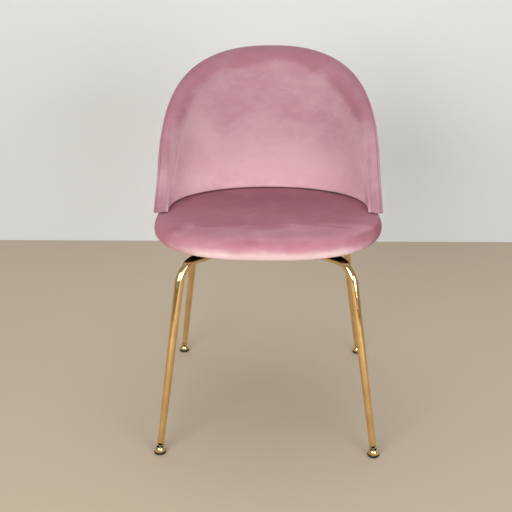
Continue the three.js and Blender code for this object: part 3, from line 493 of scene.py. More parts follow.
def back_painted_light(nodes, point):
    """Painted light and shade on the front of the back, standing in for the sheen of the velvet's pile and for the
    studio light: dark on the dome's rolled edge, light low on the panel.
    """
    across, along, up = nodes.split(point)
    above = nodes.math("MAXIMUM", nodes.math("SUBTRACT", up, SEAT_RIM), 0.0)
    lean = nodes.math("MULTIPLY", above, math.tan(RECLINE))
    behind = nodes.math("SUBTRACT", nodes.math("SUBTRACT", along, MIDDLE_Y), lean)
    turn = nodes.math("ARCTAN2", nodes.math("ABSOLUTE", across), behind)
    reach = nodes.math("MULTIPLY", turn, BACK_ARC_RADIUS / DOME_HALF_LENGTH)
    rise = nodes.math("DIVIDE", nodes.math("SUBTRACT", up, BACK_SPRING), BACK_TOP - BACK_SPRING)
    dome = nodes.math("ADD", nodes.math("POWER", reach, DOME_SIDE_POWER),
                      nodes.math("POWER", nodes.math("MAXIMUM", rise, 0.0), DOME_TOP_POWER))
    # Painted shade on the rolled edge of the dome and, low down, on the wings' outer edge
    wander = nodes.ramp(nodes.noise(point, 10, 2, 0.5, 0.4), 0.3, 0.7, -0.03, 0.03)
    high_edge = nodes.ramp(nodes.math("ADD", dome, wander), 0.76, 0.90, 1.0, 0.62)
    outward = nodes.math("ABSOLUTE", across)
    wing = nodes.ramp(up, 0.47, 0.53, 0.36, 0.52)
    low_edge = nodes.mixed(nodes.ramp(outward, 0.210, 0.2215), 1.0, wing)
    edge = nodes.mixed(nodes.ramp(up, 0.56, 0.66), low_edge, high_edge)
    # Painted light low on the panel
    low = nodes.ramp(up, 0.45, 0.64, 0.86, 0.49)
    # Painted light on the wings' inner sides, more on the left
    from_patch = nodes.math("ABSOLUTE", nodes.math("SUBTRACT", across, PAINTED_LIGHT_PATCH_X))
    aside = nodes.ramp(from_patch, 0.12, 0.21, 0.0, 0.22)
    painted_side_light = nodes.math("MULTIPLY", aside, nodes.ramp(up, 0.69, 0.61))
    return nodes.math("MULTIPLY", nodes.math("ADD", low, painted_side_light), edge)


def painted_underside_shade(nodes, point):
    """Share of painted shade where the velvet turns in under the seat."""
    up = nodes.split(point)[2]
    return nodes.ramp(up, SEAT_UNDERSIDE + 0.0075, SEAT_UNDERSIDE + 0.003, 0.0, 0.85)


def seat_painted_light(nodes, point):
    """Painted light and shade on the seat, standing in for the sheen of the velvet's pile and for the studio
    light: dark on the top, light round its front roll.
    """
    across, along, up = nodes.split(point)
    drift = nodes.noise(nodes.scaled(point, (1.0, 2.2, 1.0)), 9, 2, 0.5, 0.7)
    outward = nodes.math("ABSOLUTE", across)
    wander = nodes.ramp(drift, 0.35, 0.65, -0.022, 0.022)
    # Painted shade towards the rear of the top, painted light towards its front and its left side
    rear = nodes.ramp(along, 0.09, -0.13, 0.03, 0.27)
    front = nodes.ramp(nodes.math("ADD", along, wander), -0.120, -0.175, 0.0, 0.23)
    side = nodes.ramp(across, -0.17, -0.225, 0.0, 0.14)
    top = nodes.math("ADD", rear, nodes.math("MAXIMUM", front, side))
    # Painted shade in a band just below the top edge, near the middle
    middle = nodes.ramp(outward, 0.11, 0.06, 0.0, 0.10)
    bend = nodes.math("MULTIPLY", nodes.ramp(up, 0.463, 0.457), middle)
    # Painted light on the lower roll at the front, less towards the left corner
    wavy = nodes.ramp(drift, 0.35, 0.65, -0.0035, 0.0035)
    under = nodes.ramp(nodes.math("ADD", up, wavy), 0.455, 0.424)
    ahead = nodes.ramp(along, -0.10, -0.225, 0.0, 0.60)
    corner = nodes.ramp(across, -0.11, -0.18, 1.0, 0.35)
    low = nodes.math("MULTIPLY", nodes.math("MULTIPLY", under, ahead), corner)
    # Painted shade on the right end's side roll, with a little painted light on its top
    right_shade = nodes.ramp(up, 0.455, 0.463, 0.18, -0.07)
    right_end = nodes.math("MULTIPLY", nodes.ramp(across, 0.145, 0.205), right_shade)
    shaded = nodes.math("ADD", bend, right_end)
    return nodes.math("SUBTRACT", nodes.math("ADD", top, low), shaded)


def plain_lightness(nodes, point):
    """Nearly even pile, for the rear of the back."""
    return nodes.ramp(nodes.noise(point, 6, 1, 0.5, 0.5), 0.3, 0.7, 0.46, 0.58)


# Seat pad

SEAT_CELLS = 36
HEM_WIDTH = 0.056
HEM_UNDERSIDE = SEAT_LOW.z
HEM_TOP = HEM_UNDERSIDE + 0.0016
PAN_EDGE = SEAT_HALF_WIDTH - 0.0357
PAN_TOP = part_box("seat_pan")[1].z + 0.0003


def seat_point(radius, angle, height):
    """A point over the seat's plan: angle about the middle, radius as measured to the side."""
    inset = SEAT_HALF_WIDTH - radius
    share = radius / SEAT_HALF_WIDTH
    if math.sin(angle) < 0:
        power = SEAT_FRONT_POWER
        depth = max(SEAT_FRONT_DEPTH - inset, SEAT_FRONT_DEPTH * share)
    else:
        power = SEAT_REAR_POWER
        depth = max(SEAT_REAR_DEPTH - inset, SEAT_REAR_DEPTH * share)
    return Vector((
        radius * signed_power(math.cos(angle), 2 / power),
        MIDDLE_Y + depth * signed_power(math.sin(angle), 2 / power),
        height,
    ))


def disc_place(column, row):
    """Radius share and angle of a crossing of a square grid that is eased into a disc."""
    u = 2 * column / SEAT_CELLS - 1
    v = 2 * row / SEAT_CELLS - 1
    x = u * math.sqrt(1 - v * v / 2)
    y = v * math.sqrt(1 - u * u / 2)
    return math.hypot(x, y), math.atan2(y, x)


def disc_rim():
    """Crossings (column, row) round the edge of the grid, anticlockwise."""
    cells = SEAT_CELLS
    near = [(i, 0) for i in range(cells)]
    right = [(cells, i) for i in range(cells)]
    far = [(cells - i, cells) for i in range(cells)]
    left = [(0, cells - i) for i in range(cells)]
    return near + right + far + left


def disc_faces(rim_start, inside_start):
    """Quads of the disc grid whose rim is a ring of points and whose inside follows row by row."""
    index = {crossing: rim_start + i for i, crossing in enumerate(disc_rim())}
    crossings = [(i, j) for j in range(1, SEAT_CELLS) for i in range(1, SEAT_CELLS)]
    index.update({crossing: inside_start + i for i, crossing in enumerate(crossings)})
    return [
        (index[i, j], index[i + 1, j], index[i + 1, j + 1], index[i, j + 1])
        for i in range(SEAT_CELLS)
        for j in range(SEAT_CELLS)
    ]


RIM_ANGLES = [disc_place(*crossing)[1] for crossing in disc_rim()]


def disc_ring(radius, height):
    return [seat_point(radius, angle, height) for angle in RIM_ANGLES]


def disc_points(radius_at, height_at):
    points = []
    for j in range(1, SEAT_CELLS):
        for i in range(1, SEAT_CELLS):
            share, angle = disc_place(i, j)
            points.append(seat_point(radius_at(angle) * share, angle, height_at(share)))
    return points


def disc_layer(name, rings, top_inside, bottom_inside, material):
    """A closed body from rings round the seat's plan and its two filled ends."""
    sides = len(RIM_ANGLES)
    points = [point for ring in rings for point in ring]
    start = len(points)
    faces = disc_faces(0, start) + disc_faces(start - sides, start + len(top_inside))
    for ring in range(len(rings) - 1):
        faces += ring_faces(ring * sides, (ring + 1) * sides, sides)
    return new_piece(name, points + top_inside + bottom_inside, faces, material)


def top_roll(angle):
    """Width of the rounding at the seat's upper edge: tight under the back, wide at the front."""
    return mix(SEAT_REAR_ROLL, SEAT_FRONT_ROLL, smooth_step(-math.sin(angle)))


def fullness(angle):
    """How far the stuffed edge stands out at its widest: less under the back than at the sides."""
    return mix(-0.0012, 0.0024, smooth_step(0.5 - 2 * math.sin(angle)))


def seat_roll(width_at, rise, start, end):
    """Rings down a quarter of the seat's rounded edge; the turn runs between 1 and -1."""
    rings = []
    for i in range(SEAT_ROLL_STEPS):
        turn = math.pi / 2 * mix(start, end, i / SEAT_ROLL_STEPS)
        across = math.cos(turn) ** (2 / SEAT_SIDE_POWER)
        climb = signed_power(math.sin(turn), 2 / SEAT_SIDE_POWER)
        height = SEAT_WIDEST_Z + (rise - INFLATE_ROOM) * climb
        rings.append([
            seat_point(
                SEAT_HALF_WIDTH - width_at(angle) * (1 - across) + fullness(angle) * across,
                angle,
                height,
            )
            for angle in RIM_ANGLES
        ])
    return rings


def seat_pad():
    rolls = seat_roll(top_roll, SEAT_RIM - SEAT_WIDEST_Z, 1, 0)
    rolls += seat_roll(lambda angle: SEAT_BOTTOM_ROLL, SEAT_WIDEST_Z - HEM_UNDERSIDE, 0, -1)
    hem = [
        disc_ring(SEAT_HALF_WIDTH - SEAT_BOTTOM_ROLL, HEM_UNDERSIDE),
        disc_ring(SEAT_HALF_WIDTH - HEM_WIDTH, HEM_UNDERSIDE),
        disc_ring(SEAT_HALF_WIDTH - HEM_WIDTH, HEM_TOP),
        disc_ring(PAN_EDGE, HEM_TOP),
        disc_ring(PAN_EDGE, PAN_TOP),
    ]

    def crown(share):
        swell = math.cos(math.pi / 2 * share) ** SEAT_CROWN_POWER
        return SEAT_RIM + SEAT_CROWN * swell - INFLATE_ROOM

    top = disc_points(lambda angle: SEAT_HALF_WIDTH - top_roll(angle), crown)
    pad = disc_layer(
        "seat_pad_velvet",
        rolls + hem,
        top,
        disc_points(lambda angle: PAN_EDGE, lambda share: PAN_TOP),
        velvet("seat_velvet", SEAT_PILE, seat_painted_light, painted_underside_shade),
    )
    sides = 4 * SEAT_CELLS
    last = sides * (len(rolls) + len(hem))
    hidden = range(last + len(top), len(pad.data.vertices))
    inflate(pad, [*range(sides * len(rolls), last), *hidden])
    ruffle(pad, 0.0010, 0.07, lambda place: smooth_step((place.z - 0.42) / 0.02))
    press_under_back(pad)
    subdivide(pad, 1)
    return pad


def press_under_back(pad):
    """The back's lower edge holds the rim of the seat flat."""
    reach = SEAT_HALF_WIDTH - SEAT_FLAT_RIM
    depth = SEAT_REAR_DEPTH - SEAT_FLAT_RIM
    for vertex in pad.data.vertices:
        across = vertex.co.x / reach
        along = (vertex.co.y - MIDDLE_Y) / depth
        if vertex.co.y > WELT_LOW.y - 0.01 and math.hypot(across, max(0.0, along)) > 1:
            vertex.co.z = min(vertex.co.z, BACK_LOWER - 0.0006)


def ruffle(piece, height, size, share_at):
    """Slight unevenness of hand-fitted velvet: points move along their normals by smooth noise."""
    for vertex in piece.data.vertices:
        wave = noise.noise(vertex.co / size) + 0.5 * noise.noise(vertex.co / size * 2.3)
        vertex.co += vertex.normal * (height * wave * share_at(vertex.co))


# Back

def panel_table():
    """Places (length from the middle, x, y) along half of the panel's curve in plan."""
    steps = 1200
    places = [(0.0, 0.0, SHELL_DEPTH)]
    for i in range(1, steps + 1):
        angle = 2 * math.pi / 3 * i / steps
        x = SHELL_HALF_WIDTH * signed_power(math.sin(angle), 2 / SHELL_POWER)
        y = SHELL_DEPTH * signed_power(math.cos(angle), 2 / SHELL_POWER)
        length, last_x, last_y = places[-1]
        places.append((length + math.hypot(x - last_x, y - last_y), x, y))
    return places


PANEL_PLACES = panel_table()


def panel_plan(s):
    """Plan position at the length s along the panel's curve, which is negative to the left."""
    length = abs(s)
    low, high = 0, len(PANEL_PLACES) - 1
    while high - low > 1:
        middle = (low + high) // 2
        if PANEL_PLACES[middle][0] < length:
            low = middle
        else:
            high = middle
    before, after = PANEL_PLACES[low], PANEL_PLACES[high]
    share = (length - before[0]) / (after[0] - before[0])
    side = math.copysign(1.0, s)
    return Vector((side * mix(before[1], after[1], share), mix(before[2], after[2], share)))


def panel_point(s, z, depth):
    """A point off the panel's middle surface; a positive depth lies in front of it."""
    reach = 0.001
    along = (panel_plan(s + reach) - panel_plan(s - reach)).normalized()
    wing = smooth_step((abs(s) - FLARE_START) / FLARE_RISE)
    flare = WING_FLARE * wing * smooth_step((FLARE_TOP - z) / FLARE_HEIGHT)
    plan = panel_plan(s) + Vector((along.y, -along.x)) * (depth - flare)
    lean = math.tan(RECLINE) * max(0.0, z - SEAT_RIM)
    return Vector((plan.x, MIDDLE_Y + plan.y + lean, z))


def cover_lower(s):
    """Lower edge of the shell and the rear cover, which reach down behind the seat in a tongue."""
    rise = smooth_step((abs(s) - TONGUE_HALF_WIDTH) / COVER_RISE)
    return mix(TONGUE_LOWER, BACK_LOWER, rise)


BACK_COLUMNS = 96
BACK_ROWS = 26
COLUMN_CROWDING = 1.9


def dome_point(column):
    place = 1 - 2 * column / BACK_COLUMNS
    share = 1 - (1 - abs(place)) ** COLUMN_CROWDING
    height = max(0.0, 1 - share ** DOME_SIDE_POWER) ** (1 / DOME_TOP_POWER)
    z = mix(BACK_SPRING, BACK_TOP, height)
    toe = TOE_REACH * max(0.0, 1 - (z - BACK_SPRING) / TOE_HEIGHT) ** 2
    side = (place > 0) - (place < 0)
    return side * (DOME_HALF_LENGTH * share + toe), z


def back_outline(lower_edge):
    """Places round the back, each as (s, z, inward s, inward z)."""
    dome = [dome_point(column) for column in range(BACK_COLUMNS + 1)]
    lower = []
    for s, _ in reversed(dome[1:-1]):
        drop = math.sqrt(max(0.0, 1 - abs(s / WING_TIP) ** WING_CORNER_POWER))
        lower.append((s, mix(BACK_SPRING, lower_edge(s), drop)))
    places = dome + lower
    outline = []
    for index, place in enumerate(places):
        place = Vector(place)
        arriving = (place - Vector(places[index - 1])).normalized()
        leaving = (Vector(places[(index + 1) % len(places)]) - place).normalized()
        turn = (arriving + leaving).normalized()
        outline.append((place.x, place.y, -turn.y, turn.x))
    return outline


PAD_OUTLINE = back_outline(lambda s: BACK_LOWER)
COVER_OUTLINE = back_outline(cover_lower)


def moved_in(place, inset):
    return place[0] + place[2] * inset, place[1] + place[3] * inset


def pad_roll(index):
    """Width of the rounding at the pad's edge, small where the wing runs out to its tip."""
    height = PAD_OUTLINE[index][1]
    room = 0.0008 + 0.4 * abs(height - PAD_OUTLINE[-index][1])
    growth = smooth_step((height - BACK_SPRING) / ROLL_GROWTH) if on_dome(index) else 0
    return min(room, mix(PAD_LOWER_ROLL, PAD_EDGE_ROLL, growth))


def on_dome(index):
    return 0 < index <= BACK_COLUMNS


def lower_swell(s, z):
    """The pad is fuller along its lower edge, where it rests on the seat."""
    middle = 1 - smooth_step((abs(s) - 0.12) / 0.20)
    return 0.009 * smooth_step((BACK_LOWER + 0.08 - z) / 0.08) * middle


def pad_thickness(s):
    return mix(PAD_THICKNESS, WING_PAD_THICKNESS, smooth_step(abs(s) / DOME_HALF_LENGTH))


FACE_PLACES = [moved_in(place, pad_roll(index)) for index, place in enumerate(PAD_OUTLINE)]


def face_columns():
    """Points (s, z, swell) inside the face ring, column by column from the right tip."""
    columns = []
    for i in range(1, BACK_COLUMNS):
        top, bottom = FACE_PLACES[i], FACE_PLACES[-i]
        column = []
        for row in range(1, BACK_ROWS):
            share = row / BACK_ROWS
            swell = math.sin(math.pi * share) * max(0.0, 1 - (top[0] / DOME_HALF_LENGTH) ** 2)
            s, z = mix(top[0], bottom[0], share), mix(top[1], bottom[1], share)
            column.append((s, z, swell))
        columns.append(column)
    return columns


FACE_COLUMNS = face_columns()


def fill_faces(ring_start, inside_start):
    sides = 2 * BACK_COLUMNS

    def column(i):
        if i in (0, BACK_COLUMNS):
            return [ring_start + i] * (BACK_ROWS + 1)
        inside = inside_start + (i - 1) * (BACK_ROWS - 1)
        return [ring_start + i, *range(inside, inside + BACK_ROWS - 1), ring_start + sides - i]

    faces = []
    for i in range(BACK_COLUMNS):
        right, left = column(i), column(i + 1)
        for row in range(BACK_ROWS):
            corners = [right[row], left[row], left[row + 1], right[row + 1]]
            faces.append(tuple(dict.fromkeys(corners)))
    return faces


def back_layer(name, start_inside, rings, end_inside, material):
    sides = 2 * BACK_COLUMNS
    points = [point for ring in rings for point in ring] + start_inside + end_inside
    start = len(rings) * sides
    faces = fill_faces(0, start) + fill_faces((len(rings) - 1) * sides, start + len(start_inside))
    for ring in range(len(rings) - 1):
        faces += ring_faces(ring * sides, (ring + 1) * sides, sides)
    return new_piece(name, points, faces, material)


def inside_points(depth_at):
    return [
        panel_point(s, z, depth_at(s, z, swell))
        for column in FACE_COLUMNS
        for s, z, swell in column
    ]


def front_roll():
    """Rings over the pad's edge, which is round on the dome and squarer along the seat."""
    rings = []
    for step in range(FRONT_ROLL_STEPS + 1):
        angle = math.pi / 2 * step / FRONT_ROLL_STEPS
        ring = []
        for index, place in enumerate(PAD_OUTLINE):
            radius = pad_roll(index)
            dome = smooth_step((place[1] - BACK_SPRING) / 0.03) if on_dome(index) else 0
            edge = mix(0.0002, INFLATE_ROOM, dome)
            ease = 2 / mix(LOWER_EDGE_POWER, 2, dome)
            s, z = moved_in(place, radius - (radius - edge) * math.sin(angle) ** ease)
            rise = pad_thickness(s) + lower_swell(s, z) - PAD_GAP - INFLATE_ROOM
            depth = SHELL_FACE + PAD_GAP + rise * abs(math.cos(angle)) ** ease
            ring.append(panel_point(s, z, depth))
        rings.append(ring)
    return rings


HEM_DEPTH = SHELL_FACE + 0.00015
HEM_THICKNESS = 0.0016
TIP_SPARE = 0.0006
TIP_SPARE_TOP = 0.505


def hem_ring(inset, depth):
    """A ring on the hem of the front cover, folded round the shell's edge but not over its tongue.

    Its outer rings stand a little off the shell at the wing tips, where the edge turns sharply.
    """
    ring = []
    for index, place in enumerate(PAD_OUTLINE):
        folded = index <= BACK_COLUMNS or abs(place[0]) > FOLD_START
        outer = inset < HEM_THICKNESS
        spare = TIP_SPARE * smooth_step((TIP_SPARE_TOP - place[1]) / 0.02) if outer else 0
        s, z = moved_in(place, inset - spare)
        ring.append(panel_point(s, z, depth if folded else SHELL_FACE + SHELL_FACET_GAP))
    return ring


def face_ring(depth_at):
    return [panel_point(s, z, depth_at(s)) for s, z in FACE_PLACES]


def back_front():
    sides = 2 * BACK_COLUMNS
    rolls = front_roll()
    hem = [
        hem_ring(0.0002, SHELL_FACE - 0.001),
        hem_ring(0.0001, -0.002),
        hem_ring(0.0005, -HEM_DEPTH - 0.001),
        hem_ring(HEM_THICKNESS, -HEM_DEPTH),
        hem_ring(HEM_THICKNESS, SHELL_FACE),
        face_ring(lambda s: SHELL_FACE + SHELL_FACET_GAP),
    ]
    outside = inside_points(
        lambda s, z, swell:
        SHELL_FACE + pad_thickness(s) + lower_swell(s, z) + PAD_CROWN * swell - INFLATE_ROOM
    )
    front = back_layer(
        "back_front_velvet",
        outside,
        rolls + hem,
        inside_points(lambda s, z, swell: SHELL_FACE + SHELL_FACET_GAP),
        velvet("back_velvet", BACK_PILE, back_painted_light),
    )
    last = sides * (len(rolls) + len(hem))
    hidden = range(last + len(outside), len(front.data.vertices))
    low = [i for i in range(last) if front.data.vertices[i].co.z < BACK_LOWER + 0.004]
    held = {*low, *range(sides * len(rolls), last), *hidden}
    inflate(front, sorted(held))
    ruffle(front, 0.0008, 0.06, lambda place: smooth_step((place.z - BACK_LOWER) / 0.03))
    hold_tips(front, range(len(rolls) - 1, len(rolls) + 3))
    subdivide(front, 1)
    return front


def hold_tips(piece, rings):
    """Keeps the wing tips of the folded hem pointed under subdivision."""
    near = range(-4, 5)
    tips = {
        ring * 2 * BACK_COLUMNS + (tip + step) % (2 * BACK_COLUMNS)
        for ring in rings for tip in (0, BACK_COLUMNS) for step in near
    }
    crease = piece.data.attributes.new("crease_edge", "FLOAT", "EDGE")
    for edge in piece.data.edges:
        if tips.issuperset(edge.vertices):
            crease.data[edge.index].value = 1.0


def edge_ring(inset, depth):
    return [panel_point(*moved_in(place, inset), depth) for place in COVER_OUTLINE]


def back_rear():
    """The thin pad and its cover behind the shell, rolled in to the seam along the welt."""
    seam = 2 * WELT_RADIUS - 0.00015
    outer = SHELL_FACE + REAR_PAD_THICKNESS
    rings = [face_ring(lambda s: -outer)]
    for step in range(1, REAR_ROLL_STEPS + 1):
        angle = math.pi / 2 * step / REAR_ROLL_STEPS
        inset = seam + REAR_EDGE_ROLL * (1 - math.sin(angle))
        rise = (REAR_PAD_THICKNESS - PAD_GAP) * math.cos(angle)
        rings.append(edge_ring(inset, -(SHELL_FACE + PAD_GAP + rise)))
    rings.append(face_ring(lambda s: -SHELL_FACE - PAD_GAP))
    rear = back_layer(
        "back_rear_velvet",
        inside_points(lambda s, z, swell: -outer),
        rings,
        inside_points(lambda s, z, swell: -SHELL_FACE - PAD_GAP),
        velvet("rear_velvet", BACK_PILE, plain_lightness),
    )
    ruffle(rear, 0.0006, 0.08, lambda place: 1.0)
    subdivide(rear, 1)
    return rear


def back_welt():
    """The covered cord round the seam between the front and rear covers."""
    depth = -(SHELL_FACE + 0.0003 + WELT_RADIUS)
    rings = []
    for side in range(WELT_SIDES):
        angle = 2 * math.pi * side / WELT_SIDES
        rings.append(edge_ring(
            WELT_RADIUS - WELT_RADIUS * math.cos(angle),
            depth + WELT_RADIUS * math.sin(angle),
        ))
    return loop_piece("back_welt_velvet", rings, velvet("welt_velvet", BACK_PILE, back_painted_light))


def dust_cover():
    """Black cloth stapled flat under the seat."""
    low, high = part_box("seat_dust_cover")
    radius = high.x
    upper = high.z - 0.0001
    cloth = disc_layer(
        "dust_cover_cloth",
        [disc_ring(radius, upper), disc_ring(radius, low.z)],
        disc_points(lambda angle: radius, lambda share: upper),
        disc_points(lambda angle: radius, lambda share: low.z),
        woven_black(),
    )
    return cloth


# Legs

LEGS = ("front_left", "front_right", "rear_left", "rear_right")
FRONT_CORNER = (0.170, -0.165)
REAR_CORNER = (0.175, 0.185)
LEG_END_FROM_HUB = 0.034
LEG_END_FROM_BALL = 0.0098


def tilt_joint(leg):
    return next(joint for joint in frame["joints"] if joint["name"] == f"glide_{leg}_tilt")


def leg_route(leg):
    """Stations (place, direction, taper) along a leg's middle line, and the bend plane's normal."""
    ball = Vector(tilt_joint(leg)["pos_m"])
    across, along = FRONT_CORNER if leg.startswith("front") else REAR_CORNER
    corner = Vector((math.copysign(across, ball.x), MIDDLE_Y + along, TUBE_LEVEL))
    up = (corner - ball).normalized()
    hub = Vector((0, MIDDLE_Y, TUBE_LEVEL))
    inward = (hub - corner).normalized()
    turn = up.angle(inward)
    tangent = LEG_BEND_RADIUS * math.tan(turn / 2)
    bend_start = corner - up * tangent
    to_centre = (inward - up * math.cos(turn)).normalized()
    centre = bend_start + to_centre * LEG_BEND_RADIUS
    foot = ball + up * LEG_END_FROM_BALL
    straight = (bend_start - foot).length
    stations = []
    for step in range(LEG_STRAIGHT_STEPS):
        share = step / LEG_STRAIGHT_STEPS
        stations.append((foot + up * straight * share, up, share))
    for step in range(LEG_BEND_STEPS + 1):
        angle = turn * step / LEG_BEND_STEPS
        place = centre - to_centre * LEG_BEND_RADIUS * math.cos(angle)
        place += up * LEG_BEND_RADIUS * math.sin(angle)
        stations.append((place, up * math.cos(angle) + to_centre * math.sin(angle), 1.0))
    stations.append((hub - inward * LEG_END_FROM_HUB, inward, 1.0))
    return stations, up.cross(inward).normalized()


def leg_tube(leg, material):
    stations, normal = leg_route(leg)
    rings = []
    for drawn_in, order in ((0.0, stations), (LEG_WALL, list(reversed(stations)))):
        for place, direction, taper in order:
            radius = mix(LEG_FOOT_RADIUS, LEG_TOP_RADIUS, taper) - drawn_in
            over = direction.cross(normal)
            rings.append([
                place
                + over * radius * math.cos(2 * math.pi * i / LEG_SIDES)
                + normal * radius * math.sin(2 * math.pi * i / LEG_SIDES)
                for i in range(LEG_SIDES)
            ])
    return loop_piece(f"leg_tube_{leg}", rings, material)


# Profiles of the feet as (radius, height) above the floor
BELL_PROFILE = (
    (0.0116, 0.0057), (0.0117, 0.0066), (0.0116, 0.0080), (0.0112, 0.0098), (0.0105, 0.0118),
    (0.0097, 0.0136), (0.0090, 0.0149), (0.0083, 0.0155), (0.0071, 0.0155), (0.0069, 0.0149),
    (0.0078, 0.0141), (0.0088, 0.0122), (0.0099, 0.0095), (0.0104, 0.0070), (0.0105, 0.0057),
)
BASE_PROFILE = (
    (0.0001, 0.0), (0.0100, 0.0), (0.0113, 0.0003), (0.0121, 0.0012), (0.0124, 0.0026),
    (0.0124, 0.0042), (0.0121, 0.0051), (0.0114, 0.0054), (0.0066, 0.0054), (0.0065, 0.0115),
    (0.0043, 0.0116), (0.0046, 0.0095), (0.0041, 0.0070), (0.0025, 0.0054), (0.0001, 0.0048),
)


def under_leg(leg):
    """The place on the floor below the leg's ball stud."""
    across, along, _ = tilt_joint(leg)["pos_m"]
    return Vector((across, along, 0))


def glide_bell(leg, material):
    """A flared gold cup over the glide's socket."""
    return turned_piece(f"foot_bell_{leg}", BELL_PROFILE, under_leg(leg), LEG_SIDES, material)


def glide_base(leg, material):
    """The black moulded disc that lies flat on the floor, with its socket under the bell."""
    return turned_piece(f"foot_disc_{leg}", BASE_PROFILE, under_leg(leg), LEG_SIDES, material)


# Dressing the chair

def dress():
    seat = seat_pad()
    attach(seat, "chair")
    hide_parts("seat_cover", "seat_foam")
    front = back_front()
    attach(front, "chair")
    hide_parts("back_cover_front", "back_foam_front")
    rear = back_rear()
    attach(rear, "chair")
    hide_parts("back_cover_rear", "back_foam_rear")
    welt = back_welt()
    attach(welt, "chair")
    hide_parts("back_welt")
    cloth = dust_cover()
    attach(cloth, "chair")
    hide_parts("seat_dust_cover")
    gold = gold_plate()
    nylon = moulded("black_nylon", (0.012, 0.012, 0.013, 1))
    for leg in LEGS:
        tube = leg_tube(leg, gold)
        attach(tube, "chair")
        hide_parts(f"leg_{leg}")
        bell = glide_bell(leg, gold)
        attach(bell, f"glide_{leg}")
        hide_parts(f"glide_bell_{leg}")
        base = glide_base(leg, nylon)
        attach(base, f"glide_{leg}")
        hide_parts(f"glide_base_{leg}")
    looks = {
        "gold_plate": gold,
        "zinc_plate": plain_metal("zinc_plate", (0.62, 0.63, 0.64, 1), 0.3),
        "black_steel": plain_metal("black_steel", (0.03, 0.03, 0.032, 1), 0.45),
        "plywood": plywood(),
        "black_nylon": nylon,
    }
    for entry in frame["record"]["subparts"]:
        node = frame["nodes"][entry["node"]]
        if entry["material_slot"] in looks:
            node.data.materials.clear()
            node.data.materials.append(looks[entry["material_slot"]])


# Studio

CAMERA_PLACE = Vector((0.0370, -1.6361 + MIDDLE_Y, 0.9405))
CAMERA_HEADING = math.radians(-2.2327)
CAMERA_PITCH = math.radians(19.555)
CAMERA_ROLL = math.radians(0.4719)
FOCAL_PIXELS = 784.24
FRAME_PIXELS = 512
SENSOR_WIDTH = 36


def add_camera():
    forward = Vector((
        math.sin(CAMERA_HEADING) * math.cos(CAMERA_PITCH),
        math.cos(CAMERA_HEADING) * math.cos(CAMERA_PITCH),
        -math.sin(CAMERA_PITCH),
    ))
    level = Vector((math.cos(CAMERA_HEADING), -math.sin(CAMERA_HEADING), 0))
    upright = level.cross(forward)
    right = level * math.cos(CAMERA_ROLL) - upright * math.sin(CAMERA_ROLL)
    up = level * math.sin(CAMERA_ROLL) + upright * math.cos(CAMERA_ROLL)
    data = bpy.data.cameras.new("camera")
    data.sensor_width = SENSOR_WIDTH
    data.lens = FOCAL_PIXELS / FRAME_PIXELS * SENSOR_WIDTH
    camera = bpy.data.objects.new("camera", data)
    bpy.context.scene.collection.objects.link(camera)
    turn = Matrix((right, up, -forward)).transposed()
    camera.matrix_world = Matrix.Translation(CAMERA_PLACE) @ turn.to_4x4()
    bpy.context.scene.camera = camera


def add_plane(name, corners, colour):
    nodes = Nodes(name)
    nodes.shader.inputs["Base Color"].default_value = colour
    nodes.shader.inputs["Roughness"].default_value = 0.8
    nodes.shader.inputs["Specular IOR Level"].default_value = 0.2
    plane = new_piece(name, corners, [(0, 1, 2, 3)], nodes.material, smooth=False)
    return plane


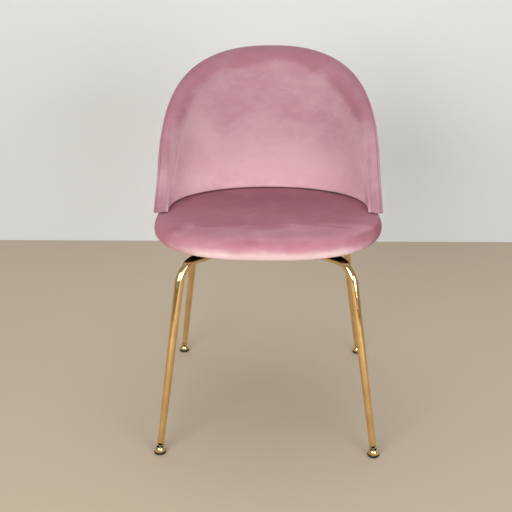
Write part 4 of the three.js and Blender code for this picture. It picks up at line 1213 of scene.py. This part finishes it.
def open_from_behind(wall):
    """Lets the views from behind the chair see through the backdrop."""
    facing = wall.data.polygons[0].normal.y < 0
    tree = wall.data.materials[0].node_tree
    either = tree.nodes.new("ShaderNodeMixShader")
    front, back = (1, 2) if facing else (2, 1)
    tree.links.new(tree.nodes.new("ShaderNodeNewGeometry").outputs["Backfacing"], either.inputs[0])
    tree.links.new(tree.nodes["Principled BSDF"].outputs[0], either.inputs[front])
    tree.links.new(tree.nodes.new("ShaderNodeBsdfTransparent").outputs[0], either.inputs[back])
    tree.links.new(either.outputs[0], tree.nodes["Material Output"].inputs["Surface"])


def add_lamp(name, place, size, power, colour):
    """A soft rectangular lamp that points at the seat."""
    data = bpy.data.lights.new(name, "AREA")
    data.shape = "RECTANGLE"
    data.size, data.size_y = size
    data.energy = power
    data.color = colour
    lamp = bpy.data.objects.new(name, data)
    bpy.context.scene.collection.objects.link(lamp)
    lamp.location = place
    heading = Vector(LAMP_TARGET) - Vector(place)
    lamp.rotation_euler = heading.to_track_quat("-Z", "Y").to_euler()


WALL_Y = 1.15
FLOOR_REACH = 6.0
FLOOR_COLOUR = (0.62, 0.515, 0.392, 1)
WALL_COLOUR = (0.86, 0.875, 0.885, 1)
WORLD_COLOUR = (0.90, 0.94, 0.96, 1)
WORLD_STRENGTH = 0.34
LAMP_TARGET = (0, 0, 0.5)
# Each lamp as (name, place, size, power, colour)
LAMPS = (
    ("key_lamp", (-1.2, -2.8, 1.3), (1.8, 1.4), 54, (1.0, 0.985, 0.96)),
    ("fill_lamp", (1.5, -2.6, 0.9), (1.6, 1.4), 36, (0.98, 0.99, 1.0)),
    ("top_lamp", (0.0, 0.1, 2.8), (2.0, 2.0), 12, (1.0, 1.0, 1.0)),
)


def add_studio():
    reach = FLOOR_REACH
    add_plane(
        "studio_floor",
        [(-reach, -reach, 0), (reach, -reach, 0), (reach, reach, 0), (-reach, reach, 0)],
        FLOOR_COLOUR,
    )
    wall = add_plane(
        "studio_wall",
        [(-reach, WALL_Y, 0), (reach, WALL_Y, 0), (reach, WALL_Y, reach), (-reach, WALL_Y, reach)],
        WALL_COLOUR,
    )
    open_from_behind(wall)
    world = bpy.data.worlds.new("studio_world")
    world.use_nodes = True
    background = world.node_tree.nodes["Background"]
    background.inputs["Color"].default_value = WORLD_COLOUR
    background.inputs["Strength"].default_value = WORLD_STRENGTH
    bpy.context.scene.world = world
    for name, place, size, power, colour in LAMPS:
        add_lamp(name, place, size, power, colour)
    bpy.context.scene.view_settings.view_transform = "Standard"


add_camera()
add_studio()
dress()
